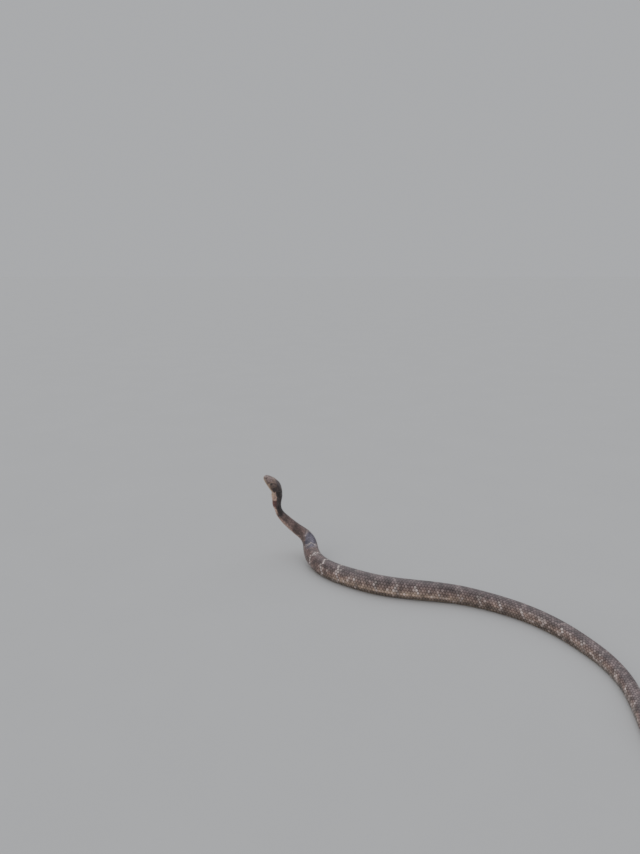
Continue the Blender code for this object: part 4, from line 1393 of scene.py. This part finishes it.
def new_group(name, marks, paints):
    """A shader node group of marks and paints that gives a colour, a height and a roughness."""
    group = bpy.data.node_groups.new(name, "ShaderNodeTree")
    sockets = [(mark, "INPUT", VALUE) for mark in marks] + [(paint, "INPUT", COLOUR) for paint in paints]
    sockets += [("colour", "OUTPUT", COLOUR), ("height", "OUTPUT", VALUE), ("roughness", "OUTPUT", VALUE)]
    for socket, side, kind in sockets:
        group.interface.new_socket(name=socket, in_out=side, socket_type=kind)
    nodes = Nodes(group)
    return nodes, nodes.add("NodeGroupInput").outputs, nodes.add("NodeGroupOutput")


def body_colours():
    """Colours along and round the body: dark back, tan flank, brown neck, dark tail, with a painted
    reflection at the neck's bend and a painted shadow along the lowest scales.
    """
    n, given, out = new_group("Body colours", BODY_MARKS, BODY_PAINTS)
    along, around, pale, edge, chance = (given[mark] for mark in BODY_MARKS)
    clouds = n.noise(9.0, 3.0, 0.6)
    patches = n.noise(40.5, 3.0, 0.62)
    grain = n.noise(420.0, 3.0, 0.65)
    flecks = n.noise(1400.0, 2.0, 0.6)
    shifted = n.swayed(n.swayed(around, patches, 0.18), clouds, 0.12)
    place = n.swayed(along, patches, 0.03)
    ragged = n.swayed(around, patches, 0.16)
    # Back, flanks and neck
    colour = n.mixed(n.between(shifted, 0.20, 0.44), given["back"], given["flank"])
    low = n.product(
        n.between(shifted, 0.40, 0.56),
        n.between(along, 0.44, 0.56),
        n.between(along, 0.80, 1.05, 0.95, 0.25),
    )
    colour = n.mixed(low, colour, given["low_flank"])
    colour = n.mixed(n.between(along, 0.53, 0.36, 0.0, 0.92), colour, given["neck"])
    # Darker lower flank further back, and a painted shadow along the lowest scales next to the scutes, both
    # in the shade colour
    under = n.product(n.between(shifted, 0.44, 0.58), n.between(along, 0.82, 1.00, 0.0, 0.80))
    underside_shadow = n.product(n.between(around, 0.565, 0.640), n.between(along, 0.34, 0.42, 0.0, 0.85))
    colour = n.mixed(n.maths("MAXIMUM", under, underside_shadow), colour, given["shade"])
    # Painted reflection: the sky's slate blue sheen on the back where the neck bends, laid into the colour
    painted_sheen_patch = n.product(n.between(along, 0.272, 0.292), n.between(along, 0.368, 0.342))
    colour = n.mixed(n.product(painted_sheen_patch, n.between(shifted, 0.36, 0.22), 0.85), colour, given["sheen"])
    rosy = n.product(n.between(shifted, 0.50, 0.64), n.between(along, 0.36, 0.28, 0.0, 0.36))
    colour = n.mixed(rosy, colour, given["rose"])
    # Nape, throat and tail
    colour = n.mixed(n.between(place, 0.178, 0.150), colour, given["nape"])
    throat = n.product(n.between(ragged, 0.47, 0.54), n.between(place, 0.158, 0.138))
    warm = n.product(n.between(place, 0.098, 0.106), n.between(place, 0.132, 0.122))
    colour = n.mixed(throat, colour, n.mixed(warm, given["rose"], given["throat_warm"]))
    colour = n.mixed(n.between(along, 1.9, 2.5, 0.0, 0.85), colour, given["tail"])
    # Single scales: paler middles, odd pale ones, the bands and dark ends
    middle = n.product(
        n.between(edge, 0.85, 0.40),
        n.between(shifted, 0.10, 0.44, 0.24, 0.50),
        n.between(along, 0.46, 0.60, 0.30, 1.0),
    )
    colour = n.mixed(middle, colour, n.mixed(0.42, colour, given["band"]))
    odd = n.product(
        n.between(chance, 0.86, 0.94),
        n.between(shifted, 0.20, 0.36, 0.04, 0.34),
        n.between(along, 0.38, 0.52),
    )
    colour = n.mixed(odd, colour, given["band"])
    colour = n.mixed(pale, colour, given["band"])
    ends = n.product(n.between(edge, 0.68, 1.0), n.between(shifted, 0.08, 0.40, 0.78, 0.86))
    band_ends = n.product(n.between(edge, 0.50, 0.88), n.between(pale, 0.2, 0.7, 0.0, 0.9))
    colour = n.mixed(n.maths("MAXIMUM", ends, band_ends), colour, given["rim"])
    tone = n.product(
        n.linear(chance, 0.60, 0.70),
        n.linear(grain, 0.30, 0.85),
        n.between(patches, 0.32, 0.68, 0.66, 1.34),
        n.between(clouds, 0.30, 0.70, 0.86, 1.14),
    )
    height, roughness = n.linear(flecks, 0.4, grain), n.linear(grain, 0.16, 0.26)
    n.fill(out, {"colour": n.times(colour, tone), "height": height, "roughness": roughness})
    return n.tree


def head_colours():
    """Colours of the head: light mottled snout, tan flecks about its middle, black with flecks behind."""
    n, given, out = new_group("Head colours", HEAD_MARKS, HEAD_PAINTS)
    along, around, edge, chance = (given[mark] for mark in HEAD_MARKS)
    clouds = n.noise(60.0, 4.0, 0.65)
    flecks = n.noise(330.0, 3.0, 0.62)
    blots = n.noise(170.0, 4.0, 0.70)
    grain = n.noise(1500.0, 2.0, 0.6)
    shifted = n.swayed(n.swayed(along, blots, 0.022), clouds, 0.030)
    behind = n.between(shifted, 0.027, 0.047)
    colour = n.mixed(n.between(around, 0.46, 0.60), given["face"], given["lip"])
    dark = n.product(n.between(blots, 0.45, 0.57), n.between(shifted, 0.010, 0.028, 0.45, 0.92))
    colour = n.mixed(dark, colour, given["mottle"])
    tan = n.product(n.between(flecks, 0.50, 0.60), n.between(shifted, 0.018, 0.030), 0.80)
    colour = n.mixed(tan, colour, given["fleck"])
    colour = n.mixed(n.product(behind, n.between(flecks, 0.66, 0.52, 0.70, 0.97)), colour, given["nape"])
    colour = n.mixed(n.product(n.between(flecks, 0.60, 0.68), behind, 0.40), colour, given["fleck"])
    colour = n.mixed(n.between(edge, 0.55, 1.0, 0.0, 0.60), colour, given["rim"])
    tone = n.product(n.linear(chance, 0.20, 0.90), n.between(clouds, 0.30, 0.70, 0.80, 1.20))
    height, roughness = n.linear(grain, 0.35, flecks), n.linear(flecks, 0.20, 0.24)
    n.fill(out, {"colour": n.times(colour, tone), "height": height, "roughness": roughness})
    return n.tree


def paint(name, share=1.0):
    """One of the snake's colours, or a darker share of it."""
    return tuple(share * value for value in getattr(bpy.context.scene.cobra_colours, name))


def grouped(n, name, make, marks, paints):
    """What a group gives for the mesh's own marks and the given paints: colour, roughness, height."""
    node = n.add("ShaderNodeGroup", node_tree=bpy.data.node_groups.get(name) or make())
    out = n.fill(node, {mark: n.mark(mark) for mark in marks} | paints)
    return out["colour"], out["roughness"], out["height"]


def back_look(n):
    """The body's colours as they are."""
    return grouped(n, "Body colours", body_colours, BODY_MARKS, {name: paint(name) for name in BODY_PAINTS})


def skin_look(n):
    """The body's colours, darker where they show between the scales."""
    paints = {name: paint(name, SKIN_DARKNESS if name in SKIN_DARKENED else 1.0) for name in BODY_PAINTS}
    paints["rose"] = paint("throat", 0.5)
    return grouped(n, "Body colours", body_colours, BODY_MARKS, paints)


def head_look(n):
    """The head's colours."""
    return grouped(n, "Head colours", head_colours, HEAD_MARKS, {name: paint(name) for name in HEAD_PAINTS})


def belly_look(n):
    """Scutes: pale pink throat, a dark red patch, then clouded grey-tan plates with darker rear edges."""
    along, around, edge, chance = (n.mark(mark) for mark in ("along", "around", "edge", "chance"))
    clouds, grain, blots = n.noise(26.0, 4.0, 0.6), n.noise(600.0, 3.0, 0.6), n.noise(90.0, 4.0, 0.7)
    place = n.swayed(along, blots, 0.03)
    pink = n.mixed(n.between(clouds, 0.40, 0.58), paint("rose"), paint("throat"))
    warm = n.mixed(n.between(clouds, 0.36, 0.62, 0.0, 0.45), paint("throat_warm"), paint("rose"))
    colour = n.mixed(n.between(place, 0.098, 0.106), pink, warm)
    colour = n.mixed(n.between(place, 0.122, 0.132), colour, paint("rose"))
    colour = n.mixed(n.between(along, 0.17, 0.34), colour, paint("belly"))
    colour = n.mixed(n.between(along, 1.9, 2.6, 0.0, 0.7), colour, paint("tail"))
    shade = n.product(n.between(clouds, 0.42, 0.66), n.between(along, 0.2, 0.5, 0.1, 0.55))
    colour = n.mixed(shade, colour, paint("flank"))
    speckled = n.product(n.between(blots, 0.52, 0.64), n.between(along, 0.2, 0.5, 0.15, 0.5))
    colour = n.mixed(speckled, colour, paint("neck"))
    rims = n.product(n.between(edge, 0.45, 1.0), n.between(around, 0.95, 0.70, 0.40, 0.85))
    colour = n.mixed(rims, colour, paint("rim"))
    tone = n.product(n.linear(chance, 0.24, 0.88), n.linear(grain, 0.24, 0.88))
    return n.times(colour, tone), n.linear(grain, 0.2, 0.26), grain


def throat_look(n):
    """Lower jaw and throat: cream, pink further back, the head's colours towards the lips, fine sutures."""
    along, around, edge, chance = (n.mark(mark) for mark in ("along", "around", "edge", "chance"))
    clouds, grain, blots = n.noise(55.0, 3.0, 0.6), n.noise(800.0, 3.0, 0.6), n.noise(210.0, 4.0, 0.7)
    pink = n.product(n.between(clouds, 0.38, 0.60), n.between(along, 0.045, 0.085, 0.05, 0.85))
    colour = n.mixed(pink, paint("throat"), paint("rose"))
    side = n.swayed(around, blots, 0.16)
    colour = n.mixed(n.between(side, 0.76, 0.60, 0.0, 0.70), colour, paint("face"))
    dark = n.product(n.between(along, 0.036, 0.054), n.between(side, 0.66, 0.57, 0.0, 0.9))
    colour = n.mixed(dark, colour, paint("nape"))
    colour = n.mixed(n.between(edge, 0.6, 1.0, 0.0, 0.45), colour, paint("mottle"))
    tone = n.product(n.linear(chance, 0.20, 0.88), n.between(blots, 0.3, 0.7, 0.86, 1.10))
    return n.times(colour, tone), n.linear(grain, 0.2, 0.3), grain


def eye_look(n):
    """A round black pupil in a thin gold ring, a dark bronze iris with fine spokes, under a clear scale."""
    ring, spoke = n.mark("ring"), n.mark("spoke")
    streaks = n.add("ShaderNodeTexNoise", noise_dimensions="1D")
    streaks = n.fill(streaks, {"W": spoke, "Scale": 90.0, "Detail": 3.0})[0]
    iris = n.mixed(n.between(streaks, 0.35, 0.7), paint("iris"), IRIS_DARK)
    bright = n.product(n.between(ring, 0.285, 0.30), n.between(ring, 0.335, 0.315), 0.55)
    iris = n.mixed(bright, iris, IRIS_RING)
    colour = n.mixed(n.between(ring, 0.27, 0.29), PUPIL, iris)
    colour = n.mixed(n.between(ring, 0.42, 0.52), colour, EYE_BORDER)
    return colour, n.between(ring, 0.2, 0.6, 0.12, 0.3), None


def floor_look(n):
    """The floor's colour with faint clouds."""
    floor = tuple(bpy.context.scene.cobra_stage.floor)
    return n.times(floor, n.between(n.noise(3.0, 4.0, 0.6), 0.3, 0.7, 0.98, 1.0)), 0.8, None


def finished(name, look, coat=0.0, coat_roughness=0.2, bump=0.25, distance=0.0002, specular=0.5):
    """A Principled material. look adds its nodes and gives colour, roughness and height."""
    made = bpy.data.materials.new(name)
    made.use_nodes = True
    n = Nodes(made.node_tree)
    shader = n.add("ShaderNodeBsdfPrincipled")
    n.put(shader.outputs[0], n.add("ShaderNodeOutputMaterial").inputs[0])
    colour, roughness, height = look(n)
    n.fill(shader, {"Base Color": colour, "Roughness": roughness, "Specular IOR Level": specular})
    n.fill(shader, {"Coat Weight": coat, "Coat Roughness": coat_roughness})
    if height is not None:
        relief = n.fill(n.add("ShaderNodeBump"), {"Strength": bump, "Distance": distance, "Height": height})
        n.put(relief[0], shader.inputs["Normal"])
    return made


FINISHES = {
    "Back scales": (back_look, {"coat": 0.14, "coat_roughness": 0.32, "bump": 0.22}),
    "Skin": (skin_look, {"bump": 0.3, "distance": 0.0003}),
    "Head shields": (head_look, {"coat": 0.12, "coat_roughness": 0.3, "bump": 0.2, "distance": 0.00015}),
    "Belly scutes": (belly_look, {"bump": 0.15}),
    "Throat": (throat_look, {"bump": 0.15}),
    "Eye": (eye_look, {"coat": 1.0, "coat_roughness": 0.03, "specular": 0.6}),
    "Floor": (floor_look, {"specular": 0.2}),
}


def finish_for(name):
    """The named finish, made on first use."""
    look, values = FINISHES[name]
    return bpy.data.materials.get(name) or finished(name, look, **values)


# Stage

FLOOR_HALF = 40.0
FLOOR_HEIGHT = -0.0002
SUNS = (
    # name, way to it, share of the stage's light, spread in degrees, colour
    ("sky_light", (-0.15, 0.55, 1.0), 1.0, 75, (0.93, 0.96, 1.0)),
    ("side_light", (-1.0, -0.55, 0.9), 0.45, 45, (1.0, 0.96, 0.91)),
)
CAMERA_PLACE = (-0.55, -1.45, 0.99)
CAMERA_TILT = 75  # degrees up from straight down
CAMERA_LENS, CAMERA_SENSOR = 26.0, 36.0


def build_stage():
    """A pale floor, broad soft lights as even as a clouded sky, and the camera."""
    scene = bpy.context.scene
    mesh = bpy.data.meshes.new("floor")
    sides = ((-1, -1), (1, -1), (1, 1), (-1, 1))
    mesh.from_pydata([(FLOOR_HALF * x, FLOOR_HALF * y, FLOOR_HEIGHT) for x, y in sides], [], [(0, 1, 2, 3)])
    mesh.update()
    mesh.materials.append(finish_for("Floor"))
    placed("floor", mesh)
    for name, way, power, spread, tint in SUNS:
        lamp = bpy.data.lights.new(name, "SUN")
        lamp.energy = power * scene.cobra_stage.light
        lamp.angle = math.radians(spread)
        lamp.color = tint
        item = placed(name, lamp)
        item.location = [3 * part for part in way]
        tilt, heading = math.acos(way[2] / math.hypot(*way)), math.atan2(way[1], way[0])
        item.rotation_euler = (tilt, 0, heading + math.pi / 2)
    scene.world = bpy.data.worlds.new("soft_room")
    scene.world.use_nodes = True
    background = scene.world.node_tree.nodes["Background"]
    background.inputs[0].default_value = (*scene.cobra_stage.room, 1)
    background.inputs[1].default_value = 1.0
    camera = bpy.data.cameras.new("camera")
    camera.lens = CAMERA_LENS
    camera.sensor_width = CAMERA_SENSOR
    scene.camera = placed("camera", camera)
    scene.camera.location = CAMERA_PLACE
    scene.camera.rotation_euler = (math.radians(CAMERA_TILT), 0, 0)


# The add-on's settings, operators and panel


def length(label, text, default):
    return FloatProperty(name=label, description=text, default=default, unit="LENGTH", precision=5)


def colour(label, text, default):
    return FloatVectorProperty(
        name=label, description=text, default=default, size=3, min=0, max=1, subtype="COLOR"
    )


def share(label, text, default):
    return FloatProperty(name=label, description=text, default=default, min=0, max=2, subtype="FACTOR")


class CobraSizes(bpy.types.PropertyGroup):
    """Sizes of the coat of scales and shields."""

    coat_depth: length("Coat depth", "From the skin to the scales' tops where the body is thickest", 0.00095)
    scale_overlap: share("Scale length", "A scale's half length as a share of the distance to the next", 0.76)
    scale_breadth: share("Scale breadth", "A scale's half width as a share of its row's width", 0.74)
    scale_rise: share("Scale rise", "How far a scale's rear edge stands up, as a share of the coat", 0.62)
    scale_dome: share("Scale dome", "How far a scale's middle swells, as a share of the coat", 0.20)
    shield_rise: length("Shield rise", "How far the head's shields stand out of the skin", 0.00022)
    suture: length("Suture", "Groove between neighbouring shields", 0.00022)


class CobraColours(bpy.types.PropertyGroup):
    """Colours of the snake."""

    back: colour("Back", "Scales of the back", (0.112, 0.074, 0.076))
    flank: colour("Flank", "Scales of the flank", (0.220, 0.140, 0.112))
    low_flank: colour("Low flank", "Lower scales of the flank", (0.400, 0.280, 0.200))
    # Used for a painted shadow along the lowest scales next to the scutes, and for the darker lower flank
    # further back
    shade: colour("Lowest scales", "Lowest scales, and lower flank further back", (0.070, 0.049, 0.032))
    band: colour("Bands", "Narrow pale bands and the middles of scales", (0.640, 0.530, 0.490))
    neck: colour("Neck", "Brown of the neck", (0.165, 0.105, 0.094))
    nape: colour("Nape", "Back of the head and nape", (0.044, 0.029, 0.030))
    # Painted reflection of the sky on the back at the neck's bend, slate blue
    sheen: colour("Sheen", "Slate blue at the bend of the neck", (0.135, 0.126, 0.178))
    rose: colour("Rose", "Pale pink of the neck's underside", (0.640, 0.420, 0.330))
    tail: colour("Tail", "Tail", (0.056, 0.045, 0.041))
    rim: colour("Scale edges", "Edges of scales and the skin between them", (0.024, 0.017, 0.016))
    belly: colour("Belly", "Scutes of the belly", (0.340, 0.265, 0.195))
    throat: colour("Throat", "Lower jaw and throat", (0.660, 0.480, 0.290))
    throat_warm: colour("Throat, dark", "Dark red patch behind the jaw", (0.150, 0.052, 0.044))
    face: colour("Face", "Snout and top of the head", (0.350, 0.255, 0.232))
    mottle: colour("Mottling", "Darker mottling of the head", (0.110, 0.074, 0.064))
    fleck: colour("Flecks", "Tan flecks of the head", (0.460, 0.300, 0.185))
    lip: colour("Upper lip", "Plates of the upper lip", (0.360, 0.265, 0.215))
    iris: colour("Iris", "Ring round the pupil", (0.105, 0.052, 0.018))


class CobraStage(bpy.types.PropertyGroup):
    """The floor and the lights."""

    floor: colour("Floor", "Pale floor", (0.62, 0.62, 0.62))
    light: share("Light", "Strength of the light above", 0.80)
    room: colour("Room", "Light from all round, which the floor fades into", (0.50, 0.51, 0.53))


class BuildOperator:
    """What the operators share."""

    bl_options = {"REGISTER", "UNDO"}

    def execute(self, context):
        self.build()
        return {"FINISHED"}


class COBRA_OT_skin(BuildOperator, bpy.types.Operator):
    """Make the skin under the scales, from snout to tail tip"""

    bl_idname = "cobra.skin"
    bl_label = "Skin"

    def build(self):
        build_skin(finish_for("Skin"))


class COBRA_OT_scales(BuildOperator, bpy.types.Operator):
    """Lay the overlapping scales of the back, flanks and throat"""

    bl_idname = "cobra.scales"
    bl_label = "Scales"

    def build(self):
        build_scales(finish_for("Back scales"))
        build_throat_scales(finish_for("Throat"))


class COBRA_OT_scutes(BuildOperator, bpy.types.Operator):
    """Lay the broad scutes of the belly and the pairs under the tail"""

    bl_idname = "cobra.scutes"
    bl_label = "Belly scutes"

    def build(self):
        build_scutes(finish_for("Belly scutes"))


class COBRA_OT_shields(BuildOperator, bpy.types.Operator):
    """Set the large shields of the head and jaw"""

    bl_idname = "cobra.shields"
    bl_label = "Head shields"

    def build(self):
        build_head_shields(finish_for("Head shields"), finish_for("Throat"))


class COBRA_OT_eyes(BuildOperator, bpy.types.Operator):
    """Set the eyes, with rims round them and the nostrils"""

    bl_idname = "cobra.eyes"
    bl_label = "Eyes and nostrils"

    def build(self):
        build_eyes(finish_for("Eye"), finish_for("Head shields"))


class COBRA_OT_stage(BuildOperator, bpy.types.Operator):
    """Lay the floor and set up the lights and the camera"""

    bl_idname = "cobra.stage"
    bl_label = "Stage"

    def build(self):
        build_stage()


class COBRA_PT_panel(bpy.types.Panel):
    """Lists what builds the snake"""

    bl_label = "King cobra"
    bl_space_type = "VIEW_3D"
    bl_region_type = "UI"
    bl_category = "King cobra"

    def draw(self, context):
        for operator in OPERATORS:
            self.layout.operator(operator.bl_idname)
        for settings in (context.scene.cobra_sizes, context.scene.cobra_colours, context.scene.cobra_stage):
            box = self.layout.box()
            for name in settings.__annotations__:
                box.prop(settings, name)


OPERATORS = (COBRA_OT_skin, COBRA_OT_scales, COBRA_OT_scutes, COBRA_OT_shields, COBRA_OT_eyes, COBRA_OT_stage)
CLASSES = (CobraSizes, CobraColours, CobraStage, *OPERATORS, COBRA_PT_panel)


def register():
    for kind in CLASSES:
        bpy.utils.register_class(kind)
    bpy.types.Scene.cobra_sizes = PointerProperty(type=CobraSizes)
    bpy.types.Scene.cobra_colours = PointerProperty(type=CobraColours)
    bpy.types.Scene.cobra_stage = PointerProperty(type=CobraStage)


def unregister():
    for name in ("cobra_sizes", "cobra_colours", "cobra_stage"):
        delattr(bpy.types.Scene, name)
    for kind in reversed(CLASSES):
        bpy.utils.unregister_class(kind)


def main():
    register()
    bpy.ops.cobra.skin()
    bpy.ops.cobra.scales()
    bpy.ops.cobra.scutes()
    bpy.ops.cobra.shields()
    bpy.ops.cobra.eyes()
    bpy.ops.cobra.stage()


if __name__ == "__main__":
    main()
